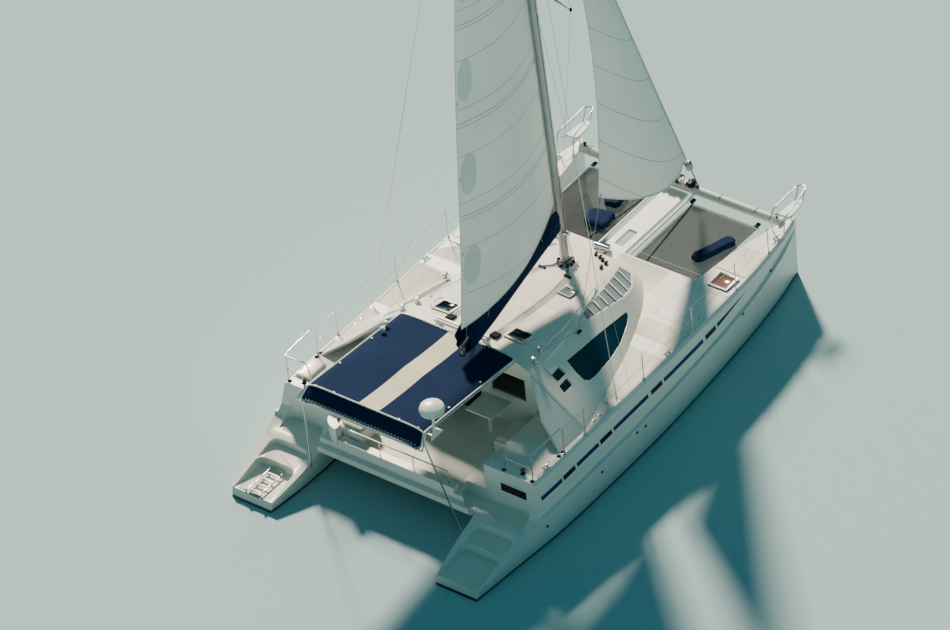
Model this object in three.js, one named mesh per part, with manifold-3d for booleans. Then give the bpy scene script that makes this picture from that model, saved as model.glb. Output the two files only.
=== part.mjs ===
// Sailing catamaran, 12 m long, with its sails set.
// Millimetres, +X towards the bows, +Y to port, +Z up.
// The origin is amidships on the centreplane, at the waterline.

import * as THREE from 'three';
import Module from 'manifold-3d';
import { mergeVertices } from 'three/addons/utils/BufferGeometryUtils.js';

const wasm = await Module();
wasm.setup();

// Driving dimensions
const BOW_X = 6000;
const DECK_Z = 1570;
const SOLE_Z = 950;
const TUNNEL_Z = 640;
const PLATFORM_Z = 200;
const GAP = 1;

const BRIDGE = { aft: -4500, fore: 3120, bulkhead: -2050 };
const MAST = {
  x: 1600, foot: 2165, rake: 0.049, height: 15850, long: 220, wide: 140, hounds: 12850, caps: 15600,
};
const BOOM = { up: 1250, swing: 0.16, pin: 150, length: 4250, deep: 200, wide: 130 };
const SAIL = { foot: 4180, bottom: 1705, top: 15450, thick: 12, camber: 0.085, twist: 0.16 };
const STAY = { foot: [6000, 0, 1950], leg: 500 };
const JIB = { tack: 0.008, head: 0.92, clew: [1920, -760, 3960], aft: 19 };
const BEAM = { x: 5730, z: 1470, radius: 100, half: 2640 };
const BIMINI = { aft: -5180, fore: -2130, half: 1490, aftZ: 3100, foreZ: 2840, flapX: -5440, flapZ: 2820 };
const RUDDER = { x: -5050, y: 2640 };
const DRIVE = { x: -3650, y: 2680 };

// Colours, roughness and metalness
const paint = (color, roughness = 0.4, metalness = 0) =>
  new THREE.MeshStandardMaterial({ color, roughness, metalness, flatShading: true });
const WHITE = paint('#ece8df', 0.3);
const CREAM = paint('#e3d9c4', 0.6);
const NAVY = paint('#132f57', 0.8);
const CLOTH = paint('#dfe3dd', 0.7);
const DARK = paint('#0d1a24', 0.15);
const NET = paint('#5d6266', 0.9);
const STEEL = paint('#c3c7ca', 0.25, 1);
const ALLOY = paint('#8d9296', 0.45, 0.9);
const BOTTOM = paint('#1b2a38', 0.7);
const BRONZE = paint('#b08a4e', 0.4, 0.9);

// Solids: every shape below is a closed indexed geometry with positions only
const v = (x, y, z) => new THREE.Vector3(x, y, z);

function closed(source) {
  const raw = source.clone();
  raw.deleteAttribute('normal');
  raw.deleteAttribute('uv');
  const merged = mergeVertices(raw, 1e-3);
  const old = merged.index.array;
  const kept = [];
  for (let i = 0; i < old.length; i += 3) {
    const [a, b, c] = [old[i], old[i + 1], old[i + 2]];
    if (a !== b && b !== c && c !== a) kept.push(a, b, c);
  }
  merged.setIndex(kept);
  return outward(merged);
}

function outward(geometry) {
  const p = geometry.attributes.position;
  const index = geometry.index.array;
  const [a, b, c] = [v(), v(), v()];
  let volume = 0;
  for (let i = 0; i < index.length; i += 3) {
    a.fromBufferAttribute(p, index[i]);
    b.fromBufferAttribute(p, index[i + 1]);
    c.fromBufferAttribute(p, index[i + 2]);
    volume += a.dot(b.cross(c));
  }
  if (volume > 0) return geometry;
  const turned = [];
  for (let i = 0; i < index.length; i += 3) turned.push(index[i], index[i + 2], index[i + 1]);
  geometry.setIndex(turned);
  return geometry;
}

function toSolid(geometry) {
  const vertProperties = Float32Array.from(geometry.attributes.position.array);
  const triVerts = Uint32Array.from(geometry.index.array);
  return new wasm.Manifold(new wasm.Mesh({ numProp: 3, vertProperties, triVerts }));
}

function fromSolid(solid) {
  const { vertProperties, triVerts } = solid.getMesh();
  const geometry = new THREE.BufferGeometry();
  geometry.setAttribute('position', new THREE.BufferAttribute(Float32Array.from(vertProperties), 3));
  geometry.setIndex([...triVerts]);
  return geometry;
}

const join = (...parts) => fromSolid(parts.map(toSolid).reduce((whole, part) => whole.add(part)));
const cut = (body, ...tools) =>
  fromSolid(tools.map(toSolid).reduce((whole, tool) => whole.subtract(tool), toSolid(body)));
const common = (one, other) => fromSolid(toSolid(one).intersect(toSolid(other)));

function moved(geometry, x, y, z, turn = [0, 0, 0]) {
  const matrix = new THREE.Matrix4().makeRotationFromEuler(new THREE.Euler(...turn));
  return geometry.clone().applyMatrix4(matrix.setPosition(x, y, z));
}

const mirrored = (geometry) => outward(geometry.clone().applyMatrix4(new THREE.Matrix4().makeScale(1, -1, 1)));

// A box given by its two opposite corners
function box(x0, x1, y0, y1, z0, z1) {
  const geometry = closed(new THREE.BoxGeometry(x1 - x0, y1 - y0, z1 - z0));
  return moved(geometry, (x0 + x1) / 2, (y0 + y1) / 2, (z0 + z1) / 2);
}

function rod(from, to, radius, sides = 8, radiusTo = radius) {
  const [a, b] = [v(...from), v(...to)];
  const geometry = closed(new THREE.CylinderGeometry(radiusTo, radius, a.distanceTo(b), sides));
  const turn = new THREE.Quaternion().setFromUnitVectors(v(0, 1, 0), b.clone().sub(a).normalize());
  const middle = a.clone().add(b).multiplyScalar(0.5);
  return geometry.applyQuaternion(turn).translate(middle.x, middle.y, middle.z);
}

// A round tube through points, with its corners eased
function tube(points, radius, sides = 8, steps = 24, loop = false) {
  const ring = new THREE.Path().absarc(0, 0, radius, 0, 2 * Math.PI).getPoints(sides);
  const circle = new THREE.Shape(ring.slice(0, -1));
  const extrudePath = new THREE.CatmullRomCurve3(points.map((p) => v(...p)), loop, 'catmullrom', 0.12);
  return closed(new THREE.ExtrudeGeometry(circle, { steps, extrudePath, bevelEnabled: false }));
}

// An outline in two of the axes, thickened along the third
const PLANES = {
  xy: (a, b, h) => [a, b, h],
  xz: (a, b, h) => [a, h, b],
  yz: (a, b, h) => [h, a, b],
};

function slab(plane, outline, from, to) {
  const shape = new THREE.Shape(outline.map(([a, b]) => new THREE.Vector2(a, b)));
  const geometry = closed(new THREE.ExtrudeGeometry(shape, { depth: to - from, bevelEnabled: false }));
  const p = geometry.attributes.position;
  for (let i = 0; i < p.count; i++) p.setXYZ(i, ...PLANES[plane](p.getX(i), p.getY(i), p.getZ(i) + from));
  return outward(geometry);
}

// A skin over rings of equally many points, closed by a fan at each end
function loft(rings) {
  const count = rings[0].length;
  const positions = rings.flat(2);
  const index = [];
  for (let r = 0; r + 1 < rings.length; r++) {
    for (let i = 0; i < count; i++) {
      const [a, b] = [r * count + i, r * count + ((i + 1) % count)];
      index.push(a, b, b + count, a, b + count, a + count);
    }
  }
  [0, rings.length - 1].forEach((r) => {
    const centre = positions.length / 3;
    const middle = [0, 1, 2].map((k) => rings[r].reduce((sum, p) => sum + p[k], 0) / count);
    positions.push(...middle);
    for (let i = 0; i < count; i++) {
      const [a, b] = [r * count + i, r * count + ((i + 1) % count)];
      index.push(...(r === 0 ? [centre, b, a] : [centre, a, b]));
    }
  });
  const geometry = new THREE.BufferGeometry();
  geometry.setAttribute('position', new THREE.BufferAttribute(new Float32Array(positions), 3));
  geometry.setIndex(index);
  return closed(geometry);
}

// A thin sheet: a grid of points thickened to both sides along Y
function sheet(rows, thick) {
  const count = rows[0].length;
  const ring = (row) => [
    ...row.map(([x, y, z]) => [x, y - thick / 2, z]),
    ...[...row].reverse().map(([x, y, z]) => [x, y + thick / 2, z]),
  ];
  const rings = rows.map(ring);
  const positions = rings.flat(2);
  const size = 2 * count;
  const index = [];
  for (let r = 0; r + 1 < rings.length; r++) {
    for (let i = 0; i < size; i++) {
      const [a, b] = [r * size + i, r * size + ((i + 1) % size)];
      index.push(a, b, b + size, a, b + size, a + size);
    }
  }
  [0, rings.length - 1].forEach((r) => {
    for (let i = 0; i + 1 < count; i++) {
      const [a, b] = [r * size + i, r * size + i + 1];
      const [c, d] = [r * size + size - 2 - i, r * size + size - 1 - i];
      index.push(...(r === 0 ? [a, c, b, a, d, c] : [a, b, c, a, c, d]));
    }
  });
  const geometry = new THREE.BufferGeometry();
  geometry.setAttribute('position', new THREE.BufferAttribute(new Float32Array(positions), 3));
  geometry.setIndex(index);
  return closed(geometry);
}

const boat = new THREE.Group();

function place(name, geometry, material, group = boat) {
  const mesh = new THREE.Mesh(geometry, material);
  mesh.name = name;
  group.add(mesh);
  return mesh;
}

function placePair(name, geometry, material) {
  place(`${name}_port`, geometry, material);
  place(`${name}_starboard`, mirrored(geometry), material);
}

// Hulls
// Columns: x, depth, inner and outer waterline, knuckle y and z, outer deck y, deck z, inner deck y
const HULL = [
  [-6150, -70, 2120, 3130, 3190, 700, 3120, 1560, 2090],
  [-5000, -260, 2010, 3230, 3350, 790, 3150, DECK_Z, 1930],
  [-3400, -430, 2000, 3370, 3440, 820, 3220, DECK_Z, 1930],
  [-900, -540, 2030, 3390, 3450, 860, 3250, DECK_Z, 1960],
  [1500, -530, 2110, 3300, 3420, 990, 3240, DECK_Z, 2060],
  [3600, -460, 2330, 3140, 3280, 1060, 3160, 1520, 2250],
  [5000, -350, 2570, 2970, 3060, 1120, 3010, 1490, 2450],
  [5700, -220, 2720, 2830, 2880, 1180, 2880, 1480, 2620],
  [BOW_X - 10, -60, 2762, 2778, 2790, 1220, 2795, 1490, 2745],
];
const LEDGE = { wide: 70, rise: 14 };
const BILGE = [0.08, 0.18, 0.29, 0.4, 0.5, 0.6, 0.71, 0.82, 0.92];

// Extra rows between those of a table, with each column eased through its neighbours and level at its peaks
function eased(rows, steps) {
  const slope = (i, k) => {
    const [before, at, after] = [rows[Math.max(i - 1, 0)], rows[i], rows[Math.min(i + 1, rows.length - 1)]];
    const inside = i > 0 && i + 1 < rows.length;
    if (inside && (at[k] - before[k]) * (after[k] - at[k]) <= 0) return 0;
    return (after[k] - before[k]) / (after[0] - before[0]);
  };
  const fine = [];
  for (let i = 0; i + 1 < rows.length; i++) {
    const [p, q] = [rows[i], rows[i + 1]];
    const span = q[0] - p[0];
    for (let n = 0; n < steps; n++) {
      const t = n / steps;
      const curve = (k) => p[k] * (2 * t ** 3 - 3 * t ** 2 + 1) + q[k] * (3 * t ** 2 - 2 * t ** 3)
        + span * (slope(i, k) * (t ** 3 - 2 * t ** 2 + t) + slope(i + 1, k) * (t ** 3 - t ** 2));
      fine.push(p.map((value, k) => (k === 0 ? value + t * span : curve(k))));
    }
  }
  return [...fine, rows.at(-1)];
}
const HULL_ROWS = eased(HULL, 3);

function hullRing([x, depth, inner, outer, knuckleY, knuckleZ, deckY, deckZ, innerDeck], grow) {
  const middle = (inner + outer) / 2;
  const half = (outer - inner) / 2 + grow;
  const bilge = BILGE.map((t) => t * Math.PI)
    .map((t) => [x, middle - half * Math.cos(t), depth * Math.sin(t) ** 0.7]);
  const ease = Math.min(60, (deckY - innerDeck) / 4);
  const step = Math.min(LEDGE.wide, (knuckleY - innerDeck) * 0.15);
  return [
    [x, innerDeck - grow, deckZ + grow],
    [x, (innerDeck + inner) / 2 - grow, TUNNEL_Z],
    [x, inner - grow, 0],
    ...bilge,
    [x, outer + grow, 0],
    [x, knuckleY + grow, knuckleZ],
    [x, knuckleY - step + grow, knuckleZ + LEDGE.rise],
    [x, deckY + grow, deckZ - ease],
    [x, deckY - ease, deckZ + grow],
  ];
}

const hullSkin = (grow) => loft(HULL_ROWS.map((row) => hullRing(row, grow)));

// Stern steps between two coamings; each riser bows forward in the middle
// Columns: tread height, riser x at the sides, how far it bows
const LANDING = { z: 650, x: -4040, open: 1480 };
const STEPS = [
  [PLATFORM_Z, -5130, 20],
  [410, -4660, 30],
  [LANDING.z, LANDING.x, 40],
];
const WALKWAY = { from: 2150, to: 3120, round: 120 };
const COAMING = [[-6600, 180], [-6030, 210], [-5130, 430], [-4660, 560], [-4240, 740], [-4060, 980],
  [-4010, 1590], [-6600, 1590]];
const TRANSOM = [[-6000, 260], [-6200, -260], [-6600, -260], [-6600, 260]];
const FORE_HATCH = { x: 3360, y: 2740, half: 230, deep: 40 };

function stepCut([z, x, bow]) {
  const { from, to, round } = WALKWAY;
  const [middle, half] = [(from + to) / 2, (to - from) / 2];
  const front = [];
  for (let n = -8; n <= 8; n++) {
    const y = middle + (n / 8) * half;
    const corner = Math.max(0, Math.abs(y - middle) - half + round);
    front.push([x + bow * (1 - (n / 8) ** 2) - round + Math.sqrt(round ** 2 - corner ** 2), y]);
  }
  return slab('xy', [[-6600, from], ...front, [-6600, to]], z, 1600);
}

function hull(...more) {
  const well = (half) => box(
    FORE_HATCH.x - half, FORE_HATCH.x + half, FORE_HATCH.y - half, FORE_HATCH.y + half, 1450, 1700);
  return cut(
    hullSkin(0),
    ...STEPS.map(stepCut),
    slab('xz', COAMING, 1500, 3600),
    slab('xz', TRANSOM, 1500, 3600),
    well(FORE_HATCH.half + 6),
    ...more,
  );
}
// Boarding ladder, folded flat on the port platform between two lugs
const LADDER = { x: -6000, y: 2620, z: 262, long: 860, half: 170, bar: 15 };
const lugs = [-1, 1].map((s) => {
  const y = LADDER.y + s * (LADDER.half + LADDER.bar + 12);
  return box(LADDER.x - 18, LADDER.x + 30, y - 9, y + 9, PLATFORM_Z - 10, LADDER.z + 24);
});
place('hull_port', join(hull(), ...lugs), WHITE);

// From the starboard landing a passage leads inboard to the cockpit, round the after beam's end
const PASSAGE = [
  [LANDING.x, 2400], [LANDING.x, LANDING.open], [-4150, LANDING.open], [-4320, 1560], [-4480, 1700],
  [-4640, 1960], [-4640, 2400],
];
const passage = slab('xy', PASSAGE, LANDING.z, 1600);
place('hull_starboard', mirrored(hull(passage)), WHITE);

// Stub keels, rudders, drives and propellers
function foil(chord, thick, z, x, y) {
  const half = [[0, 0], [0.12, 0.8], [0.35, 1], [0.7, 0.6], [1, 0.06]];
  const side = (sign) => half.map(([s, t]) => [x - s * chord, y + sign * t * thick / 2, z]);
  return [...side(1), ...side(-1).reverse().slice(0, -1)];
}

function keel() {
  const y = 2700;
  return cut(
    loft([foil(1700, 190, -1180, 700, y), foil(2300, 260, -300, 900, y)]),
    hullSkin(GAP),
  );
}
placePair('keel', keel(), BOTTOM);

function rudder() {
  const blade = loft([
    foil(360, 34, -1080, RUDDER.x + 110, RUDDER.y),
    foil(470, 64, -330, RUDDER.x + 150, RUDDER.y),
  ]);
  return join(blade, rod([RUDDER.x, RUDDER.y, -500], [RUDDER.x, RUDDER.y, -272], 24, 12));
}
placePair('rudder', rudder(), BOTTOM);

function drive() {
  const { x, y } = DRIVE;
  const leg = loft([foil(210, 70, -860, x + 90, y), foil(300, 110, -380, x + 130, y)]);
  const gear = rod([x - 210, y, -850], [x + 170, y, -850], 62, 12, 30);
  return cut(join(leg, gear), hullSkin(GAP));
}
placePair('saildrive', drive(), ALLOY);

function propeller() {
  const x = DRIVE.x - 250;
  const hub = rod([x - 70, 0, 0], [x + 35, 0, 0], 42, 12, 56);
  const blades = [0, 1, 2].map((k) => {
    const flat = slab('xy', [[-50, 20], [-80, 120], [-50, 205], [10, 215], [55, 130], [40, 20]], -6, 6);
    const pitched = moved(flat, 0, 0, 0, [0, 0.6, 0]);
    return moved(pitched, x - 18, 0, 0, [(k * 2 * Math.PI) / 3, 0, 0]);
  });
  return moved(join(hub, ...blades), 0, DRIVE.y, -850);
}
placePair('propeller', propeller(), BRONZE);

// Bridgedeck: the cockpit moulding, and the saloon sole with the foredeck, meeting under the bulkhead
const FOREDECK_Z = 1530;
// Columns: x, inner half width of the saloon well
const SALOON = [[BRIDGE.bulkhead + 60, 1880], [900, 1880], [1700, 1500], [2150, 1050], [2350, 500]];

// Rounded wall round the cockpit's port quarter
const CORNER = { outer: 430, inner: 230, y: 1500, top: 1350 };

function corner(side) {
  const centre = BRIDGE.aft + CORNER.outer;
  const arc = (radius) => [0, 1, 2, 3, 4, 5, 6].map((n) => {
    const angle = (n / 6) * (Math.PI / 2);
    return [centre - radius * Math.cos(angle), side * (CORNER.y + radius * Math.sin(angle))];
  });
  return slab('xy', [...arc(CORNER.outer), ...arc(CORNER.inner).reverse()], SOLE_Z - 50, CORNER.top);
}

// A lip along the cockpit's after end
const STERN_LIP = { out: 120, top: 800, under: 660 };

function bridgedeck() {
  const { aft, fore, bulkhead } = BRIDGE;
  const side = [
    [aft, TUNNEL_Z - 60], [aft + 900, TUNNEL_Z], [fore - 500, TUNNEL_Z + 80], [fore, 1130],
    [fore, FOREDECK_Z], [1500, DECK_Z], [bulkhead, DECK_Z], [bulkhead, SOLE_Z],
    [aft, SOLE_Z], [aft, STERN_LIP.top + 30], [aft - STERN_LIP.out, STERN_LIP.top],
    [aft - STERN_LIP.out, STERN_LIP.under],
  ];
  const well = [...SALOON, ...[...SALOON].reverse().map(([x, y]) => [x, -y])];
  const body = cut(slab('xz', side, -2400, 2400), slab('xy', well, SOLE_Z, 1700));
  const hulls = [hullSkin(GAP), mirrored(hullSkin(GAP))];
  const doorway = box(bulkhead - 10, bulkhead + 70, -1890, 1890, SOLE_Z, 1700);
  const coaming = box(aft, aft + 180, -1480, 1480, SOLE_Z - 50, 1080);
  return cut(join(body, coaming, corner(1)), doorway, mirrored(passage), ...hulls);
}
const SEAM_X = BRIDGE.bulkhead + 30;
place('cockpit', common(bridgedeck(), box(-6000, SEAM_X, -4000, 4000, 0, 3000)), WHITE);
place('bridgedeck', common(bridgedeck(), box(SEAM_X + GAP, 6000, -4000, 4000, 0, 3000)), WHITE);

// Saloon cabin
// Columns: x, roof, break y and z, crease y and z, foot y and z
const CABIN = [
  [BRIDGE.bulkhead, 2740, 1800, 2500, 1870, 2450, 3080, DECK_Z],
  [-1660, 2690, 1770, 2450, 1810, 2400, 2980, DECK_Z],
  [-800, 2530, 1620, 2345, 1670, 2270, 2720, DECK_Z],
  [400, 2330, 1270, 2210, 1550, 2130, 2370, DECK_Z],
  [1500, 2120, 1010, 2020, 1560, 1910, 1930, DECK_Z],
  [2000, 2000, 870, 1910, 1420, 1780, 1660, 1560],
  [2450, 1850, 700, 1790, 1110, 1690, 1330, 1549],
  [2680, 1700, 560, 1680, 850, 1620, 1040, 1543],
];
const WALL = 55;
const CABIN_ROWS = eased(CABIN, 2);

function cabinRing([x, roof, breakY, breakZ, creaseY, creaseZ, footY, footZ], inset, drop) {
  const half = [
    [0, roof - inset],
    [breakY * 0.85, breakZ + (roof - breakZ) * 0.6 - inset],
    [breakY - inset * 0.5, breakZ - inset],
    [creaseY - inset * 0.8, creaseZ - inset * 0.8],
    [footY - inset * 1.3, footZ + GAP],
    [footY - inset * 1.3, footZ + GAP - drop],
  ];
  const port = half.map(([y, z]) => [x, y, z]);
  const starboard = half.slice(1).map(([y, z]) => [x, -y, z]).reverse();
  return [...port, ...starboard];
}

function cabinSkin(inset, drop) {
  const rows = CABIN_ROWS.map((row) => row.slice());
  if (inset > 0) {
    rows[0][0] -= 200;
    rows[rows.length - 1][0] -= inset * 1.5;
  }
  return loft(rows.map((row) => cabinRing(row, inset, drop)));
}

// Window outlines on the sloping side: forward along it, then up the slope
const SIDE_WINDOW = [
  [1070, -40], [20, 240], [-1155, 527], [-1267, 256], [-1318, 24], [-1212, -85], [-985, -141],
  [-354, -231], [189, -257], [783, -185], [1010, -120],
];
const QUARTER = [[[-1445, 608], [-1490, 417], [-1877, 481], [-1822, 658]],
  [[-1582, 351], [-1640, 183], [-1989, 246], [-1921, 406]]];
const SLOPE = { x: 200, y: 2030, z: 1840, pitch: 0.62, yaw: -0.26 };

// A prism square to that slope, through the wall
function sidePrism(outline) {
  const prism = slab('xy', outline, -400, 400);
  const turn = new THREE.Matrix4().makeRotationZ(SLOPE.yaw);
  turn.multiply(new THREE.Matrix4().makeRotationX(Math.PI - SLOPE.pitch));
  return outward(prism.applyMatrix4(turn.setPosition(SLOPE.x, SLOPE.y, SLOPE.z)));
}

// An outline moved inwards: each corner goes to where its two moved sides meet
function shrunk(outline, by) {
  const points = outline.map(([x, y]) => new THREE.Vector2(x, y));
  const hand = Math.sign(THREE.ShapeUtils.area(points));
  return points.map((p, i) => {
    const before = p.clone().sub(points.at(i - 1)).normalize();
    const after = points[(i + 1) % points.length].clone().sub(p).normalize();
    const [n, m] = [before, after].map((d) => new THREE.Vector2(-d.y, d.x).multiplyScalar(hand));
    const inwards = n.clone().add(m);
    inwards.multiplyScalar((by * 2) / inwards.lengthSq());
    return [p.x + inwards.x, p.y + inwards.y];
  });
}

const outerSkin = cabinSkin(0, 0);
const innerSkin = cabinSkin(WALL, 300);
const paneOuter = cabinSkin(8, 200);
const paneInner = cabinSkin(26, 260);
const paneBand = cut(paneOuter, paneInner);

const WINDSCREEN = [[300, 1345], [1480, 1080], [1980, 930], [2420, 770], [2420, 1050], [1980, 1370],
  [1480, 1510], [300, 1505]];
const ROOF_HATCH = { x: -1280, y: 930, long: 420, wide: 460, z: 2566, turn: [-0.06, 0.185, 0] };
const MID_HATCH = { x: 700, y: -700, long: 300, wide: 300, z: 2247, turn: [0.043, 0.185, 0] };

function hatchWell({ x, y, long, wide, z, turn }) {
  return moved(closed(new THREE.BoxGeometry(long, wide, 500)), x, y, z, turn);
}

function cabin() {
  const side = [sidePrism(SIDE_WINDOW), ...QUARTER.map(sidePrism)];
  const screen = slab('xy', WINDSCREEN, 1400, 2600);
  const port = [...side, screen, hatchWell(ROOF_HATCH)];
  const shell = cut(outerSkin, innerSkin, ...port, ...port.map(mirrored), hatchWell(MID_HATCH));
  const step = cut(box(MAST.x - 190, MAST.x + 190, -180, 180, 1960, MAST.foot - 14), innerSkin);
  return join(shell, step);
}
place('cabin', cabin(), WHITE);

// Panes are cut on each side from the cabin's own skin
const SIDES = { port: (shape) => shape, starboard: mirrored };
for (const [side, turned] of Object.entries(SIDES)) {
  place(`side_window_${side}`, common(paneBand, turned(sidePrism(shrunk(SIDE_WINDOW, 2)))), DARK);
}

const QUARTER_PANEL = [[-2050, 150], [-2050, 700], [-1390, 700], [-1390, 150]];
const quarterBand = cut(cabinSkin(WALL + GAP, 260), cabinSkin(WALL + 13, 300));
for (const [side, turned] of Object.entries(SIDES)) {
  place(`quarter_window_${side}`, common(quarterBand, turned(sidePrism(QUARTER_PANEL))), DARK);
}

// Front windows behind a row of louvre slats
function windscreen(turned) {
  const opening = turned(slab('xy', shrunk(WINDSCREEN, 2), 1500, 2600));
  const slats = [];
  for (let x = 380; x < 2400; x += 250) {
    slats.push(turned(moved(closed(new THREE.BoxGeometry(30, 700, 800)), x, 1180, 2000, [0, 0, 0.35])));
  }
  const ribs = common(cut(cabinSkin(-28, 0), cabinSkin(18, 200)), join(...slats));
  return join(common(paneBand, opening), common(ribs, opening));
}
for (const [side, turned] of Object.entries(SIDES)) place(`windscreen_${side}`, windscreen(turned), DARK);

// Aft bulkhead with the companionway, the galley window and the helm pod
const DOOR = { half: 470, bottom: 962, top: 2330, thick: 28 };
const HELM = { x: -2290, y: 1180, z: 1800, radius: 340 };

// The cabin's sloping sides run on past the bulkhead as two wings
const WING = [
  [BRIDGE.bulkhead - 2, DECK_Z + 2], [-2950, DECK_Z + 2], [-2720, 1940], [BRIDGE.bulkhead - 2, 2470],
];

function wings() {
  const rows = [[-3000, ...CABIN[0].slice(1)], CABIN[0]];
  const skin = (inset) => loft(rows.map((row) => cabinRing(row, inset, 0)));
  const band = cut(skin(0), moved(skin(WALL), 0, 0, -2), moved(skin(WALL), -100, 0, -2));
  return common(band, slab('xz', WING, -3200, 3200));
}

// Two side panels and a header over the doorway
const JAMB = DOOR.half - 60;
const LINTEL = DOOR.top - 40;

function bulkheadPanel() {
  const [, roof, breakY, breakZ, creaseY, creaseZ, footY, footZ] = CABIN[0];
  const half = [[0, roof], [breakY * 0.85, breakZ + (roof - breakZ) * 0.6], [breakY, breakZ],
    [creaseY, creaseZ], [footY, footZ + 2], [1880, footZ + 2], [1880, SOLE_Z + GAP]];
  const outline = [...half, ...half.slice(1).map(([y, z]) => [-y, z]).reverse()];
  return slab('yz', outline, BRIDGE.bulkhead - 46, BRIDGE.bulkhead - GAP);
}

function bulkhead(turned) {
  const side = turned(box(-4000, 0, JAMB, 4000, 0, 4000));
  return common(join(bulkheadPanel(), wings()), side);
}

function helmPod() {
  const x = BRIDGE.bulkhead;
  return box(x - 200, x - 20, HELM.y - 260, HELM.y + 260, 1560, 2020);
}
const galleyWindow = box(BRIDGE.bulkhead - 100, BRIDGE.bulkhead + 10, -1620, -760, 1700, 2250);
place('aft_bulkhead_port', join(bulkhead(SIDES.port), helmPod()), WHITE);
place('aft_bulkhead_starboard', cut(bulkhead(SIDES.starboard), galleyWindow), WHITE);
const header = box(-4000, 0, -JAMB + GAP, JAMB - GAP, LINTEL, 4000);
place('companionway_header', common(bulkheadPanel(), header), WHITE);

function door() {
  const x = BRIDGE.bulkhead - 46 - 12;
  const leaf = box(x - DOOR.thick, x, -DOOR.half, DOOR.half, DOOR.bottom, DOOR.top);
  const grip = box(x - DOOR.thick - 30, x - DOOR.thick + 2, 380, 405, 1550, 1850);
  return join(leaf, grip);
}
place('saloon_door', door(), DARK);

function wheel() {
  const rim = closed(new THREE.TorusGeometry(HELM.radius, 15, 8, 28));
  const parts = [rim, rod([0, 0, -65], [0, 0, 30], 45, 12)];
  for (let k = 0; k < 5; k++) {
    const angle = (k * 2 * Math.PI) / 5;
    const end = [HELM.radius * Math.cos(angle), HELM.radius * Math.sin(angle), 0];
    parts.push(rod([0, 0, 0], end, 11, 6));
  }
  return moved(join(...parts), HELM.x - 30, HELM.y, HELM.z, [0, -Math.PI / 2, 0]);
}
place('steering_wheel', wheel(), STEEL);

// Hatch lids: a pane with a lip outside the well and a neck down into it, hinged along the after edge
const LID = { lip: 18, clear: 12, under: 12, top: 34, neck: 20 };

function lid({ x, y, long, wide, z, turn }) {
  const plate = (grow, low, high) => box(
    -long / 2 - grow, long / 2 + grow, -wide / 2 - grow, wide / 2 + grow, low, high);
  const { lip, clear, under, top, neck } = LID;
  return moved(join(plate(lip, under, top), plate(-clear, -neck, under + 4)), x, y, z, turn);
}
placePair('roof_hatch', lid(ROOF_HATCH), DARK);
place('mid_hatch', lid(MID_HATCH), ALLOY);
const foreSize = {
  ...FORE_HATCH, long: 2 * FORE_HATCH.half, wide: 2 * FORE_HATCH.half, z: 1537, turn: [0, 0, 0],
};
placePair('fore_hatch', lid(foreSize), ALLOY);

// Cockpit: side benches, table, quarter seat and after rail
const SEAT = { fore: -2260, inner: 1460, outer: 1870, top: 1370 };
const BENCH_STARBOARD = [
  [-3050, -SEAT.inner], [SEAT.fore, -SEAT.inner], [SEAT.fore, -SEAT.outer], [-3050, -SEAT.outer],
];
// The port bench turns the corner and runs a little way along the after end
const BENCH_PORT = [
  [-4060, SEAT.outer], [SEAT.fore, SEAT.outer], [SEAT.fore, SEAT.inner], [-3720, SEAT.inner], [-3720, 1020],
  [-4290, 1020], [-4290, 1490], [-4235, 1615], [-4130, 1700], [-4060, 1718],
];
place('cockpit_bench_port', slab('xy', BENCH_PORT, SOLE_Z + GAP, SEAT.top), CREAM);
place('cockpit_bench_starboard', slab('xy', BENCH_STARBOARD, SOLE_Z + GAP, SEAT.top), CREAM);

function table() {
  const top = slab('xy', [[-2860, -1310], [-2860, -640], [-2200, -640], [-2200, -1310]], 1610, 1645);
  return join(top, rod([-2540, -990, SOLE_Z + GAP], [-2540, -990, 1615], 45, 12));
}
place('cockpit_table', table(), WHITE);

function afterRail() {
  const { aft } = BRIDGE;
  const rail = tube([[aft + 90, 1300, 1085], [aft + 90, 1300, 1390], [aft + 60, 0, 1420],
    [aft + 90, -1300, 1390], [aft + 90, -1300, 1085]], 16, 6, 20);
  const posts = [-430, 430].map((y) => rod([aft + 75, y, 1085], [aft + 75, y, 1412], 13, 6));
  return join(rail, ...posts);
}
place('after_rail', afterRail(), STEEL);

// Bows: crossbeam with its net rails, catwalk, nets, pulpits
function crossbeam() {
  const { x, z, radius, half } = BEAM;
  const beam = rod([x, -half, z], [x, half, z], radius, 16);
  const rails = [-1, 1].map((s) => rod([BRIDGE.fore + 3, s * 400, 1400], [x, s * 400, 1400], 24));
  const [footX, footY, footZ] = STAY.foot;
  const legs = [-1, 1].map((s) =>
    rod([x, s * STAY.leg, z + radius - 20], [footX, footY + s * 38, footZ - 40], 17));
  return cut(join(beam, ...rails, ...legs), hullSkin(GAP), mirrored(hullSkin(GAP)));
}
place('crossbeam', crossbeam(), WHITE);

function catwalk() {
  const walk = box(BRIDGE.fore + 3, BEAM.x - BEAM.radius - 4, -270, 270, 1330, 1400);
  return cut(walk, box(3420, 3980, -110, 110, 1300, 1450));
}
place('catwalk', catwalk(), WHITE);

function net() {
  const outline = [[BRIDGE.fore + 60, 480], [BRIDGE.fore + 60, 1750], [BRIDGE.fore + 160, 2020],
    [BRIDGE.fore + 420, 2150], [5460, 2200], [5460, 480]];
  return slab('xy', outline, 1296, 1316);
}
placePair('trampoline', net(), NET);

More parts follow.
